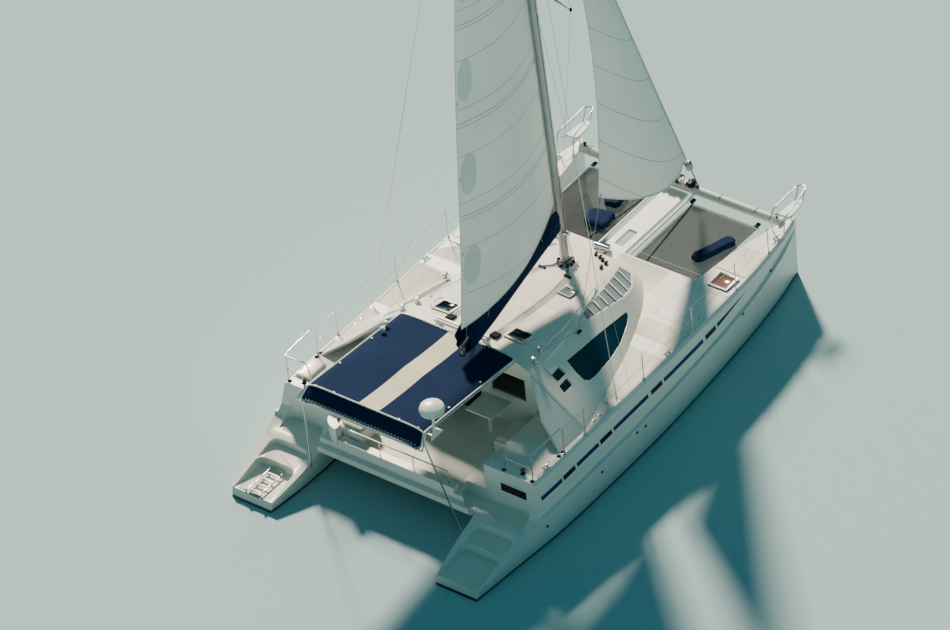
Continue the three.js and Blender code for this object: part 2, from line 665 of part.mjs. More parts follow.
function pad([x0, x1, y0, y1], turn) {
  const shape = slab('xy', [[x0, y0 + 90], [x0 + 120, y0], [x1 - 90, y0], [x1, y0 + 120],
    [x1, y1 - 120], [x1 - 90, y1], [x0 + 120, y1], [x0, y1 - 90]], 1319, 1439);
  const [cx, cy] = [(x0 + x1) / 2, (y0 + y1) / 2];
  return moved(moved(shape, -cx, -cy, 0), cx, cy, 0, [0, 0, turn]);
}
place('pad_starboard', pad([3755, 4905, -2005, -1635], -0.33), NAVY);
place('pad_port_aft', pad([3660, 4300, 560, 1240], 0.2), NAVY);
place('pad_port_fore', pad([4400, 5020, 760, 1240], 0.2), NAVY);

function pulpit() {
  const [x, y] = [BOW_X - 60, 2770];
  const rail = tube([[x - 620, y + 170, 1485], [x - 560, y + 190, 1960], [x + 330, y + 110, 2100],
    [x + 440, y + 60, 2080], [x + 440, y - 60, 2080], [x + 330, y - 110, 2100],
    [x - 480, y - 190, 1960], [x - 540, y - 170, 1485]], 14, 6, 30);
  const seat = slab('xy', [[x - 330, y - 150], [x - 330, y + 150], [x + 220, y + 100],
    [x + 300, y + 50], [x + 300, y - 50], [x + 220, y - 100]], 1760, 1790);
  const stem = rod([x - 60, y, 1487], [x - 60, y, 1765], 16);
  const hoop = [-1, 1].map((s) => rod([x + 200, y + s * 85, 1775], [x + 380, y + s * 85, 2090], 11));
  const arms = [-1, 1].map((s) => rod([x - 330, y + s * 100, 1775], [x - 500, y + s * 188, 1790], 11));
  return cut(join(rail, seat, stem, ...hoop, ...arms), hullSkin(GAP));
}
placePair('pulpit', pulpit(), STEEL);

// Lifelines: stanchions, two wires and the pushpit at the quarter
const STANCHION = { height: 660, radius: 13, xs: [-2200, -150, 1630, 3300, 4700] };
const deckEdge = (x) => {
  const row = HULL_ROWS.findIndex((r) => r[0] >= x);
  const [a, b] = [HULL_ROWS[row - 1], HULL_ROWS[row]];
  const t = (x - a[0]) / (b[0] - a[0]);
  return [a[6] + t * (b[6] - a[6]) - 75, a[7] + t * (b[7] - a[7])];
};

function lifelines() {
  const foot = (x) => [x, deckEdge(x)[0], deckEdge(x)[1] + GAP];
  const up = (x, h) => [x, deckEdge(x)[0], deckEdge(x)[1] + h];
  const { height, radius, xs } = STANCHION;
  const posts = xs.map((x) => rod(foot(x), up(x, height), radius, 6));
  const stern = [-3960, -2920];
  const pushpit = tube([foot(stern[1]), up(stern[1], 700), [stern[0], deckEdge(stern[0])[0], 2260],
    [stern[0], 2560, 2260], [stern[0] + 10, 2420, DECK_Z + GAP]], 14, 6, 24);
  const brace = rod(foot(stern[0] + 20), [stern[0] + 20, deckEdge(stern[0])[0], 2250], 12);
  const across = rod([stern[0] + 5, 2490, 1915], [stern[0] + 5, deckEdge(stern[0])[0] - 4, 1915], 11);
  const ends = [stern[1], ...xs];
  const wires = [];
  for (let i = 0; i + 1 < ends.length; i++) {
    for (const h of [height - 15, height / 2]) wires.push(rod(up(ends[i], h), up(ends[i + 1], h), 4, 5));
  }
  return cut(join(...posts, pushpit, brace, across, ...wires), hullSkin(GAP));
}
placePair('lifelines', lifelines(), STEEL);

// Bimini: a tube frame and its taut cover with an after flap
function biminiFrame() {
  const { aft, fore, half, aftZ, foreZ, flapX, flapZ } = BIMINI;
  const under = 40;
  const hoop = (x, z) => tube([[x, -half, z - under - 60], [x, -half + 60, z - under], [x, 0, z - under],
    [x, half - 60, z - under], [x, half, z - under - 60]], 16, 6, 14);
  const parts = [hoop(aft + 50, aftZ), hoop(fore, foreZ), hoop((aft + fore) / 2, (aftZ + foreZ) / 2)];
  for (const s of [-1, 1]) {
    parts.push(rod([aft, s * half, aftZ - 100], [fore, s * half, foreZ - 100], 17, 6));
    parts.push(rod([aft, s * half, aftZ - 100], [flapX, s * 1600, flapZ - 30], 16));
    parts.push(rod([-4900, s * 1925, 430], [-5310, s * 1545, 2895], 17));
    parts.push(rod([fore + 190, s * 1290, 2590], [fore, s * half, foreZ - 100], 15));
  }
  parts.push(rod([flapX, -1600, flapZ - 30], [flapX, 1600, flapZ - 30], 16));
  return cut(join(...parts), cabinSkin(-GAP, 0));
}
place('bimini_frame', biminiFrame(), STEEL);

function biminiTop() {
  const { aft, fore, half, aftZ, foreZ, flapX, flapZ } = BIMINI;
  const top = slab('xz', [[aft, aftZ - 18], [aft, aftZ], [fore, foreZ], [fore, foreZ - 18]], -half, half);
  const flap = slab('xz', [[flapX, flapZ - 8], [flapX, flapZ + 10], [aft + 4, aftZ], [aft + 4, aftZ - 18]],
    -half - 60, half + 60);
  return join(top, flap);
}
place('bimini_top', biminiTop(), NAVY);

// Mainsheet traveller on a raised bar across the roof
function traveller() {
  const [x, half] = [-1945, 690];
  const bar = slab('yz', [[-half, 2800], [-half + 40, 2880], [half - 40, 2880], [half, 2800]], x - 62, x + 62);
  const track = box(x - 16, x + 16, -half + 60, half - 60, 2876, 2902);
  const car = box(x - 60, x + 60, -330, -210, 2890, 2930);
  const feet = [-half + 90, half - 90].map((y) => box(x - 55, x + 55, y - 60, y + 60, 2500, 2810));
  return cut(join(bar, track, car, ...feet), cabinSkin(-GAP, 0));
}
place('traveller', traveller(), WHITE);

// Radar scanner on its pole at the starboard quarter
function radar() {
  const [x, y, z] = [-5110, -1690, 3700];
  const dome = closed(new THREE.LatheGeometry([[0, -115], [200, -110], [255, -60], [262, 20], [235, 85],
    [150, 130], [0, 145]].map(([r, h]) => new THREE.Vector2(r, h)), 24));
  const pole = rod([x, y, 3060], [x, y, z - 100], 30, 10);
  const foot = slab('xz', [[x - 140, 2960], [x + 260, 2960], [x + 40, 3160], [x - 40, 3160]], y - 12, y + 12);
  const arms = [0, 210].map((d) => box(x + d - 20, x + d + 20, y - 5, -BIMINI.half - 19, 2968, 2990));
  return join(moved(dome, x, y, z, [Math.PI / 2, 0, 0]), pole, foot, ...arms);
}
place('radar', radar(), WHITE);

function ladder() {
  const { x, y, z, long, half, bar } = LADDER;
  const sides = [-1, 1].map((s) => rod([x - 15, y + s * half, z], [x + long, y + s * half, z], bar));
  const rungs = [60, 260, 460, 660, 840].map((d) => rod([x + d, y - half, z], [x + d, y + half, z], 17));
  return join(...sides, ...rungs);
}
place('boarding_ladder', ladder(), STEEL);

// Windlass on the foredeck
function windlass() {
  const base = box(2420, 2700, 90, 330, FOREDECK_Z + 20, FOREDECK_Z + 120);
  return join(base, rod([2560, 40, FOREDECK_Z + 110], [2560, 380, FOREDECK_Z + 110], 62, 14));
}
place('windlass', moved(windlass(), 370, -150, 8), STEEL);

// Mast frame: its origin is the mast foot, its third axis runs up the mast
const rig = new THREE.Group();
rig.position.set(MAST.x, 0, MAST.foot);
rig.rotation.y = -MAST.rake;
boat.add(rig);

function mast() {
  const { long, wide, height, hounds } = MAST;
  const oval = new THREE.Shape(new THREE.Path().absellipse(0, 0, long / 2, wide / 2, 0, 2 * Math.PI)
    .getPoints(14).slice(0, -1));
  const column = closed(new THREE.ExtrudeGeometry(oval, { depth: height, bevelEnabled: false }));
  const shoe = box(-150, 150, -110, 110, -6, 60);
  const crosstrees = [-1, 1].map((s) => rod([30, 0, 7300], [-280, s * 1230, 7330], 30, 6, 16));
  const crane = box(-330, 130, -40, 40, height - 60, height);
  const gooseneck = [BOOM.up - 45, BOOM.up + 45].map((z) => box(-BOOM.pin - 30, -60, -28, 28, z - 9, z + 9));
  const tang = box(60, 190, -16, 16, hounds - 60, hounds + 60);
  const track = box(-BOOM.pin + 8, 0, -11, 11, SAIL.bottom - 250, SAIL.top);
  return join(column, shoe, track, ...crosstrees, crane, ...gooseneck, tang);
}
place('mast', mast(), ALLOY, rig);

// Boom, cover and mainsail swing together about the gooseneck pin
const swing = new THREE.Group();
swing.position.set(-BOOM.pin, 0, 0);
swing.rotation.z = BOOM.swing;
rig.add(swing);

function boom() {
  const { up, deep, wide, length } = BOOM;
  const oval = new THREE.Path().absellipse(0, 0, wide / 2, deep / 2, 0, 2 * Math.PI).getPoints(12);
  const spar = slab('yz', oval.slice(0, -1).map((p) => [p.x, up + p.y]), -length, -70);
  const eye = box(-80, 22, -24, 24, up - 30, up + 30);
  const block = box(-length - 60, -length + 40, -45, 45, up - 180, up - 20);
  return join(spar, eye, block);
}
place('boom', boom(), ALLOY, swing);

function sailCover() {
  const { up, deep, wide, length } = BOOM;
  const half = [[wide / 2 + 22, up - deep / 2 - 30], [230, up - 20], [265, up + 90], [235, up + 250],
    [110, SAIL.bottom - 26]];
  const outline = [...half, ...half.map(([y, z]) => [-y, z]).reverse()];
  const channel = [[wide / 2 + 4, up - deep], [wide / 2 + 4, up + deep / 2 + 6],
    [-wide / 2 - 4, up + deep / 2 + 6], [-wide / 2 - 4, up - deep]];
  const body = slab('yz', outline, -length + 60, -110);
  return cut(body, slab('yz', channel, -length - 100, 100));
}
place('sail_cover', sailCover(), NAVY, swing);

// Rows run up the sail: each is a chord from the mast to the leech
function sailRows(chordAt, up, down, rows, columns, camber, twist) {
  const grid = [];
  for (let r = 0; r <= rows; r++) {
    const t = r / rows;
    const row = [];
    for (let c = 0; c <= columns; c++) {
      const s = c / columns;
      const chord = chordAt(t);
      const depth = camber * chord * 4 * s * (1 - s) * (0.8 + 0.4 * s);
      const turn = twist * t;
      row.push([-s * chord * Math.cos(turn), -depth - s * chord * Math.sin(turn), down + t * (up - down)]);
    }
    grid.push(row);
  }
  return grid;
}

function mainsail() {
  const { foot, bottom, top, thick, camber, twist } = SAIL;
  const chord = (t) => foot * (1 - t) * (1 + 0.4 * t + 1.3 * t ** 2) + 170 * t;
  return sheet(sailRows(chord, top, bottom, 14, 8, camber, twist), thick);
}
place('mainsail', mainsail(), CLOTH, swing);

// Forestay with its furler, headsail and cap shrouds, in the boat's own frame
const stayTop = [MAST.x - Math.sin(MAST.rake) * MAST.hounds + 222, 0,
  MAST.foot + Math.cos(MAST.rake) * MAST.hounds];

function forestay() {
  const below = (d) => STAY.foot.map((a, i) => a - d * (stayTop[i] - a));
  const wire = rod(below(0.021), stayTop, 16, 8);
  const drum = rod(below(0.021), below(0.008), 85, 16);
  return join(wire, drum);
}
place('forestay', forestay(), ALLOY);

function jib() {
  const { clew, aft: behind } = JIB;
  const onStay = (t) => STAY.foot.map((a, i) => a + t * (stayTop[i] - a) - (i === 0 ? behind : 0));
  const [tack, head] = [onStay(JIB.tack), onStay(JIB.head)];
  const [rows, columns] = [12, 7];
  const grid = [];
  for (let r = 0; r <= rows; r++) {
    const t = r / rows;
    const fore = tack.map((a, i) => a + t * (head[i] - a));
    const aft = clew.map((a, i) => a + t * (head[i] - a));
    aft[0] += 1100 * t * (1 - t);
    aft[1] -= 1500 * t * (1 - t);
    const narrow = Math.hypot(fore[0] - aft[0], fore[1] - aft[1]) + 90;
    const row = [];
    for (let c = 0; c <= columns; c++) {
      const s = c / columns;
      const at = fore.map((a, i) => a + s * (aft[i] - a));
      const sag = 4 * s * (1 - s);
      row.push([at[0] - 60 * t * s, at[1] - 0.1 * narrow * sag, at[2] - 260 * sag * (1 - t) ** 3]);
    }
    grid.push(row);
  }
  return sheet(grid, 10);
}
place('jib', jib(), CLOTH);

function shroud() {
  const foot = [-1050, 3150, DECK_Z + 12];
  const top = [MAST.x - Math.sin(MAST.rake) * MAST.caps - 40, 90, MAST.foot + Math.cos(MAST.rake) * MAST.caps];
  return rod(foot, top, 8, 6);
}
placePair('shroud', shroud(), STEEL);

export default boat;
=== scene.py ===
import bpy
import math
from mathutils import Matrix, Vector, noise


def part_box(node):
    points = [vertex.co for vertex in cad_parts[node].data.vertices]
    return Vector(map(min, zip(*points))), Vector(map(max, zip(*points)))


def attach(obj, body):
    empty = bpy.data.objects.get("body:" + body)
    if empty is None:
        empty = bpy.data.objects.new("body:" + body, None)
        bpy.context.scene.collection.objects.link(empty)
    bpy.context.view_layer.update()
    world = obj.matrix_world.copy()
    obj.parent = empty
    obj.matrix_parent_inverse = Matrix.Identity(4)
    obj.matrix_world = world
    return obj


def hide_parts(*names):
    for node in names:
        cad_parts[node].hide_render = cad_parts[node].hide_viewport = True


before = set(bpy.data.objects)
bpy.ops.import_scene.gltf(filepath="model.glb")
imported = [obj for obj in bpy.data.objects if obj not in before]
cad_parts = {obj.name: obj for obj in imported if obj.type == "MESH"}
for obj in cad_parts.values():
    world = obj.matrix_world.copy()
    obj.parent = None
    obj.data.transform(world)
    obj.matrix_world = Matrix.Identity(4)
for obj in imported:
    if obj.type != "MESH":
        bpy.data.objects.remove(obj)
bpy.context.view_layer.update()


# Camera: it looks down on the boat from the starboard quarter, from far off with a long lens.
# Its place and the three ways it is turned were fitted to the outlines in the photograph.
def put(name, data):
    """A new object in the scene."""
    made = bpy.data.objects.new(name, data)
    bpy.context.scene.collection.objects.link(made)
    return made


sight = bpy.data.cameras.new("sight")
sight.sensor_width = 36.0
sight.lens = 204.77
sight.clip_start = 10.0
sight.clip_end = 400.0
camera = put("camera", sight)
right = Vector((0.59265076, -0.80121161, -0.08261369))
down = Vector((-0.53977679, -0.31894069, -0.77904933))
ahead = Vector((0.59783450, 0.50629713, -0.62149588))
camera.matrix_world = Matrix.Translation((-67.5876, -55.9690, 71.5954)) @ Matrix(
    (right, -down, -ahead)).transposed().to_4x4()
bpy.context.scene.camera = camera


# Floor: a plain pale sheet at the waterline, matt as paper. Soft daylight comes from the port bow,
# low enough to leave the sides in a blue-green shade.
def linear(code, alpha=1.0):
    """An sRGB hex colour as linear numbers."""
    parts = [int(code[i:i + 2], 16) / 255 for i in (1, 3, 5)]
    return [p / 12.92 if p <= 0.04045 else ((p + 0.055) / 1.055) ** 2.4 for p in parts] + [alpha]


def add(material, kind, inputs=None, **settings):
    """One node with its settings; an input takes a number, a colour or another node's output."""
    made = material.node_tree.nodes.new(kind)
    for name, value in settings.items():
        setattr(made, name, value)
    for name, value in (inputs or {}).items():
        if isinstance(value, bpy.types.NodeSocket):
            material.node_tree.links.new(value, made.inputs[name])
        else:
            made.inputs[name].default_value = value
    return made


def finish_of(name, **shader):
    """A material with constants set on its surface shader, and its object coordinates."""
    made = bpy.data.materials.new(name)
    made.use_nodes = True
    for socket, value in shader.items():
        made.node_tree.nodes["Principled BSDF"].inputs[socket.replace("_", " ")].default_value = value
    return made, add(made, "ShaderNodeTexCoord").outputs["Object"]


def feed(material, **sockets):
    """Outputs of nodes led to the surface shader."""
    surface = material.node_tree.nodes["Principled BSDF"]
    for socket, output in sockets.items():
        material.node_tree.links.new(output, surface.inputs[socket.replace("_", " ")])


def deselect():
    bpy.ops.object.select_all(action="DESELECT")


deselect()
bpy.ops.mesh.primitive_plane_add(size=600.0, location=(0.0, 0.0, 0.0))
floor = bpy.context.object
floor.name = "floor"
paper, _ = finish_of("floor_paper", Roughness=0.9, Base_Color=linear("#a9c6c7"))
floor.data.materials.append(paper)

sun = bpy.data.lights.new("sun", "SUN")
sun.energy = 8.5
sun.color = linear("#fff1dd")[:3]
sun.angle = math.radians(6)
put("sun", sun).rotation_euler = Vector((0.60, 0.72, 0.62)).to_track_quat("Z", "Y").to_euler()
world = bpy.data.worlds.new("studio")
world.use_nodes = True
sky = world.node_tree.nodes["Background"]
sky.inputs["Color"].default_value = linear("#66c0d4")
sky.inputs["Strength"].default_value = 0.36
bpy.context.scene.world = world


# Hulls: two glassfibre shells laid up in moulds, in white gelcoat, with steps at the stern, a dark boot
# line at the water and bottom paint below it. Rain and salt have chalked and streaked the gloss.
def take(piece):
    """This piece alone is selected and active."""
    deselect()
    piece.select_set(True)
    bpy.context.view_layer.objects.active = piece


def copied(name, mesh):
    """A new object on its own copy of a mesh."""
    piece = put(name, mesh.copy())
    piece.data.name = name
    take(piece)
    return piece


def wear(piece, material, slot, body="boat"):
    """The finish and body of a piece; its slot is not used."""
    piece.data.materials.clear()
    piece.data.materials.append(material)
    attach(piece, body)
    return piece


def applied(piece, kind, **settings):
    """A modifier, set and applied."""
    take(piece)
    made = piece.modifiers.new(kind.lower(), kind)
    for name, value in settings.items():
        setattr(made, name, value)
    bpy.ops.object.modifier_apply(modifier=made.name)
    return piece


def smoothed(piece, angle=35.0):
    """Faces shaded smooth, except across edges sharper than the angle in degrees."""
    take(piece)
    bpy.ops.object.shade_smooth_by_angle(angle=math.radians(angle))
    return piece


def edited(*steps):
    """Edit operators, each run with its settings on the whole mesh of the active piece."""
    bpy.ops.object.mode_set(mode="EDIT")
    for operator, settings in steps:
        bpy.ops.mesh.select_all(action="SELECT")
        operator(**settings)
    bpy.ops.object.mode_set(mode="OBJECT")


# Loose triangles are merged within half a millimetre, or within 3 mm where a rounded edge hides it
MERGED = {"threshold": 0.0005}
MERGED_WIDE = {"threshold": 0.003}
FLAT = {"angle_limit": math.radians(1.0)}


def shell(node, name, material, slot, soft=0.012, angle=30.0, body="boat"):
    """A finished skin in the place of a CAD node: merged, its edges rounded, shaded smooth."""
    piece = copied(name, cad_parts[node].data)
    edited((bpy.ops.mesh.remove_doubles, MERGED if soft < 0.004 else MERGED_WIDE),
           (bpy.ops.mesh.dissolve_limited, FLAT))
    if soft:
        applied(piece, "BEVEL", width=soft, segments=2, limit_method="ANGLE",
                angle_limit=math.radians(max(angle, 32.0)), use_clamp_overlap=False)
    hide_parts(node)
    applied(piece, "TRIANGULATE")
    smoothed(piece, angle)
    applied(piece, "WEIGHTED_NORMAL", weight=70, keep_sharp=True)
    return wear(piece, material, slot, body)


def patch(source, name, cuts, thick, facing=None, margin=0.0):
    """A thin layer on part of a skin: what lies beyond each cut (point, normal) is dropped."""
    piece = copied(name, source.data)
    bpy.ops.object.mode_set(mode="EDIT")
    for point, normal in cuts:
        bpy.ops.mesh.select_all(action="SELECT")
        bpy.ops.mesh.bisect(plane_co=point, plane_no=normal, clear_outer=True)
    if facing:
        bpy.ops.mesh.select_all(action="DESELECT")
        bpy.ops.object.mode_set(mode="OBJECT")
        for face in piece.data.polygons:
            face.select = face.normal.dot(Vector(facing)) < 0.93
        bpy.ops.object.mode_set(mode="EDIT")
        bpy.ops.mesh.delete(type="FACE")
    if margin:
        bpy.ops.mesh.select_all(action="SELECT")
        bpy.ops.mesh.dissolve_limited(angle_limit=math.radians(2.5))
        bpy.ops.mesh.select_all(action="SELECT")
        bpy.ops.mesh.inset(thickness=margin, use_boundary=True, use_even_offset=True)
        bpy.ops.mesh.select_all(action="INVERT")
        bpy.ops.mesh.delete(type="FACE")
    bpy.ops.object.mode_set(mode="OBJECT")
    applied(piece, "SOLIDIFY", thickness=thick, offset=0.0)
    return smoothed(piece, 30.0)


# Gelcoat is a glossy polyester skin: white with a breath of cream, duller where the weather got at it
def gelcoat_of(name, light, dull):
    """A gelcoat, its object coordinates, and its streaked colour."""
    made, place = finish_of(name, IOR=1.5, Coat_Weight=0.15, Coat_Roughness=0.3)
    cloud = add(made, "ShaderNodeTexNoise", {"Vector": place, "Scale": 0.9, "Detail": 5.0,
                                             "Roughness": 0.6}).outputs["Fac"]
    tint = add(made, "ShaderNodeMix", {"Factor": cloud, "A": linear(light), "B": linear(dull)},
               data_type="RGBA")
    # Rain streaks about 60 mm apart, drawn out downwards
    drawn = add(made, "ShaderNodeMapping", {"Vector": place, "Scale": (16.0, 16.0, 0.7)})
    rain = add(made, "ShaderNodeTexNoise", {"Vector": drawn.outputs["Vector"], "Scale": 1.0, "Detail": 3.0})
    faint = add(made, "ShaderNodeMapRange", {"Value": rain.outputs["Fac"], "From Min": 0.62,
                                             "From Max": 0.85, "To Max": 0.16})
    streaked = add(made, "ShaderNodeMix", {"Factor": faint.outputs["Result"], "A": tint.outputs["Result"],
                                           "B": linear("#b9b3a2")}, data_type="RGBA")
    gloss = add(made, "ShaderNodeMapRange", {"Value": cloud, "To Min": 0.22, "To Max": 0.42})
    # The glass cloth prints through as dimples 16 mm across and very shallow
    print_through = add(made, "ShaderNodeTexNoise", {"Vector": place, "Scale": 60.0, "Detail": 1.0})
    dimple = add(made, "ShaderNodeBump", {"Height": print_through.outputs["Fac"], "Strength": 0.03,
                                          "Distance": 0.002})
    feed(made, Roughness=gloss.outputs["Result"], Normal=dimple.outputs["Normal"])
    return made, place, streaked.outputs["Result"]


gelcoat, _, gel_colour = gelcoat_of("white_gelcoat", "#f4efe4", "#ebe4d5")
feed(gelcoat, Base_Color=gel_colour)
GEL = (gelcoat, "gelcoat")

# The same gelcoat down to the boot line, then dark bottom paint. A brown tide mark fades out above.
hull_gelcoat, hull_place, hull_colour = gelcoat_of("hull_gelcoat_and_paint", "#f3efe5", "#e9e4d8")
BOOT = {"low": -0.03, "high": 0.055, "stained": 0.30}
height = add(hull_gelcoat, "ShaderNodeSeparateXYZ", {"Vector": hull_place}).outputs["Z"]
scum = add(hull_gelcoat, "ShaderNodeTexNoise", {"Vector": hull_place, "Scale": 5.0, "Detail": 6.0})
tide = add(hull_gelcoat, "ShaderNodeMapRange", {"Value": height, "From Min": BOOT["stained"],
                                                "From Max": BOOT["high"], "To Max": 0.55})
tide_mark = add(hull_gelcoat, "ShaderNodeMath", {0: tide.outputs["Result"], 1: scum.outputs["Fac"]},
                operation="MULTIPLY")
growth = add(hull_gelcoat, "ShaderNodeMix", {"Factor": scum.outputs["Fac"], "A": linear("#16283a"),
                                             "B": linear("#2b3c46")}, data_type="RGBA")
stained = add(hull_gelcoat, "ShaderNodeMix", {"Factor": tide_mark.outputs["Value"], "A": hull_colour,
                                              "B": linear("#a89f84")}, data_type="RGBA")
above_paint, above_boot = [add(hull_gelcoat, "ShaderNodeMath", {0: height, 1: BOOT[end]},
                               operation="GREATER_THAN").outputs["Value"] for end in ("low", "high")]
under = add(hull_gelcoat, "ShaderNodeMix", {"Factor": above_paint, "A": growth.outputs["Result"],
                                            "B": linear("#101a26")}, data_type="RGBA")
hull_paint = add(hull_gelcoat, "ShaderNodeMix", {"Factor": above_boot, "A": under.outputs["Result"],
                                                 "B": stained.outputs["Result"]}, data_type="RGBA")
feed(hull_gelcoat, Base_Color=hull_paint.outputs["Result"])

SIDES = {"port": 1.0, "starboard": -1.0}
hulls = {side: shell(f"hull_{side}", f"hull_shell_{side}", hull_gelcoat, "gelcoat", angle=22.0)
         for side in SIDES}

# Stripe along each hull: dark blue vinyl tape stuck on in lengths, with the hull windows between them.
# Each window is a smoked acrylic pane bonded into a white frame moulding.
def mottled(name, first, second, clouds, detail, gloss=None, **shader):
    """A finish that drifts between two colours, with so many clouds to the metre. Where gloss gives
    two roughnesses, it drifts from bright to dull with them."""
    made, place = finish_of(name, **shader)
    drift = add(made, "ShaderNodeTexNoise", {"Vector": place, "Scale": clouds,
                                             "Detail": detail}).outputs["Fac"]
    tint = add(made, "ShaderNodeMix", {"Factor": drift, "A": linear(first), "B": linear(second)},
               data_type="RGBA")
    feed(made, Base_Color=tint.outputs["Result"])
    if gloss:
        dull = add(made, "ShaderNodeMapRange", {"Value": drift, "To Min": gloss[0], "To Max": gloss[1]})
        feed(made, Roughness=dull.outputs["Result"])
    return made, place


def acrylic_of(name, dark, light, shine=0.12):
    """Tinted acrylic sheet, with a bloom of salt that dulls its gloss in places."""
    return mottled(name, dark, light, 9.0, 6.0, (0.06, 0.22), IOR=1.49, Specular_IOR_Level=shine)[0]


# Vinyl tape is evenly coloured and weathers to a low gloss; smoked acrylic is near black and clear
stripe_vinyl, _ = mottled("blue_vinyl_tape", "#04215f", "#0a2f74", 3.0, 4.0, Roughness=0.5, IOR=1.5,
                          Coat_Weight=0.1, Specular_IOR_Level=0.12)
smoked = acrylic_of("smoked_acrylic", "#04101a", "#0b1c28")

# The band rises evenly from its after end; tapes, portlights and the tape's pointed tip are stretches
# of it, from x to x
BAND = {"x": -4.0, "z": 1.115, "rise": 0.01875, "height": 0.09}
TAPES = [(-3.92, -3.235), (-2.71, -1.96), (-1.435, -0.215), (0.35, 1.80)]
PORTLIGHTS = [(-3.175, -2.785), (-1.90, -1.508), (-0.105, 0.275), (1.90, 2.28)]
TIP = (2.355, 3.62)


def band_cuts(side, start, end, grow=0.0, bottom_rise=None):
    """Planes round a stretch of the band on one hull's outer side."""
    s, rise = SIDES[side], BAND["rise"]
    low = BAND["z"] + rise * (start - BAND["x"]) - grow
    steep = rise if bottom_rise is None else bottom_rise
    high = low + BAND["height"] + 2 * grow
    return [((0, s * 2.6, 0), (0, -s, 0)), ((start - grow, 0, 0), (-1, 0, 0)),
            ((end + grow, 0, 0), (1, 0, 0)), ((start, 0, low), (steep, 0, -1)),
            ((start, 0, high), (-rise, 0, 1))]


def joined(name, pieces):
    """Several pieces made one."""
    deselect()
    for piece in pieces:
        piece.select_set(True)
    bpy.context.view_layer.objects.active = pieces[0]
    bpy.ops.object.join()
    pieces[0].name = name
    pieces[0].data.name = name
    return pieces[0]


for side, hull in hulls.items():
    tapes = [patch(hull, "tape", band_cuts(side, a, b), 0.002) for a, b in TAPES]
    point_rise = BAND["rise"] + BAND["height"] / (TIP[1] - TIP[0])
    tapes.append(patch(hull, "tape", band_cuts(side, *TIP, bottom_rise=point_rise), 0.002))
    wear(joined(f"hull_stripe_{side}", tapes), stripe_vinyl, "navy_canvas")
    frames = [patch(hull, "frame", band_cuts(side, a, b, 0.022), 0.006) for a, b in PORTLIGHTS]
    wear(joined(f"hull_window_frames_{side}", frames), *GEL)
    panes = [patch(hull, "pane", band_cuts(side, a, b, 0.006), 0.010) for a, b in PORTLIGHTS]
    wear(joined(f"hull_windows_{side}", panes), smoked, "tinted_glass")

# Treads on the stern steps: the same moulding cast with a fine diamond grit, a shade greyer and duller
# than the gloss round it, and trodden a little unevenly.
nonskid, nonskid_place = mottled("nonskid_gelcoat", "#f3ecdc", "#dfd8ca", 2.2, 6.0, Roughness=0.7, IOR=1.5)
# Real diamonds are 4 mm apart; drawn 12 mm apart so that they show
grit = add(nonskid, "ShaderNodeTexVoronoi", {"Vector": nonskid_place, "Scale": 84.0})
grit_bump = add(nonskid, "ShaderNodeBump", {"Height": grit.outputs["Distance"], "Strength": 0.35,
                                            "Distance": 0.003})
feed(nonskid, Normal=grit_bump.outputs["Normal"])


def within(z, x=(None, None), y=(None, None)):
    """Cuts round a box, from the low and high end of each span; None leaves an end open."""
    cuts = []
    for axis, span in ((2, z), (0, x), (1, y)):
        for way, end in zip((-1.0, 1.0), span):
            if end is not None:
                point, normal = Vector(), Vector()
                point[axis], normal[axis] = end, way
                cuts.append((point, normal))
    return cuts


# Each tread's height, and where it starts and ends
TREADS = [(0.20, -5.99, -5.20), (0.41, -5.11, -4.70), (0.65, -4.62, -4.09)]
for side, hull in hulls.items():
    wide = sorted((SIDES[side] * 2.22, SIDES[side] * 3.05))
    treads = [patch(hull, "tread", within((z - 0.02, z + 0.02), (aft, fore), wide), 0.004,
                    facing=(0, 0, 1), margin=0.015) for z, aft, fore in TREADS]
    wear(joined(f"step_nonskid_{side}", treads), nonskid, "gelcoat")

# Deck mouldings: cockpit, bridgedeck, saloon cabin, bulkhead, crossbeam and catwalk come from moulds
# as the hulls do, in the same white gelcoat, and are glassed or bolted together.
mouldings = {node: shell(node, f"{node}_moulding", *GEL, soft=0.010)
             for node in ("cockpit", "bridgedeck", "cabin", "aft_bulkhead_port", "aft_bulkhead_starboard",
                          "companionway_header", "crossbeam", "catwalk")}

# Saloon windows: panes of blue-tinted acrylic bonded flush into the cabin sides and the quarters, which
# look greenish under the sky. The sliding door is one smoked pane in the companionway.
cabin_glass = acrylic_of("tinted_cabin_glass", "#102b3a", "#1a3c4e", 0.25)
for node in ("side_window", "quarter_window"):
    for side in SIDES:
        shell(f"{node}_{side}", f"{node}_pane_{side}", cabin_glass, "tinted_glass", soft=0.003)

# Front windows: a row of white gelcoat louvres over grey tinted panes, which shade the saloon. The grey
# is pale with salt, and shines softly.
louvred, _ = mottled("grey_tinted_screen", "#64747b", "#7b8a8f", 6.0, 5.0, Roughness=0.2, IOR=1.49,
                     Coat_Weight=0.3, Coat_Roughness=0.05)
# The slats stand in vertical rows across each screen, a pitch apart along its face
SLAT = {"first": 0.38, "pitch": 0.25, "y": 1.18, "turn": 0.35, "half": 0.017}
for side, s in SIDES.items():
    screen = shell(f"windscreen_{side}", f"windscreen_panes_{side}", louvred, "tinted_glass", soft=0.0)
    screen.data.materials.append(gelcoat)
    across = Vector((math.cos(SLAT["turn"]), s * math.sin(SLAT["turn"]), 0.0))
    for face in screen.data.polygons:
        along = (face.center - Vector((SLAT["first"], s * SLAT["y"], 0.0))).dot(across)
        nearest = round(along / (SLAT["pitch"] * across.x)) * SLAT["pitch"] * across.x
        if abs(along - nearest) < SLAT["half"]:
            face.material_index = 1

shell("saloon_door", "saloon_door_leaf", smoked, "tinted_glass", soft=0.004, body="door")

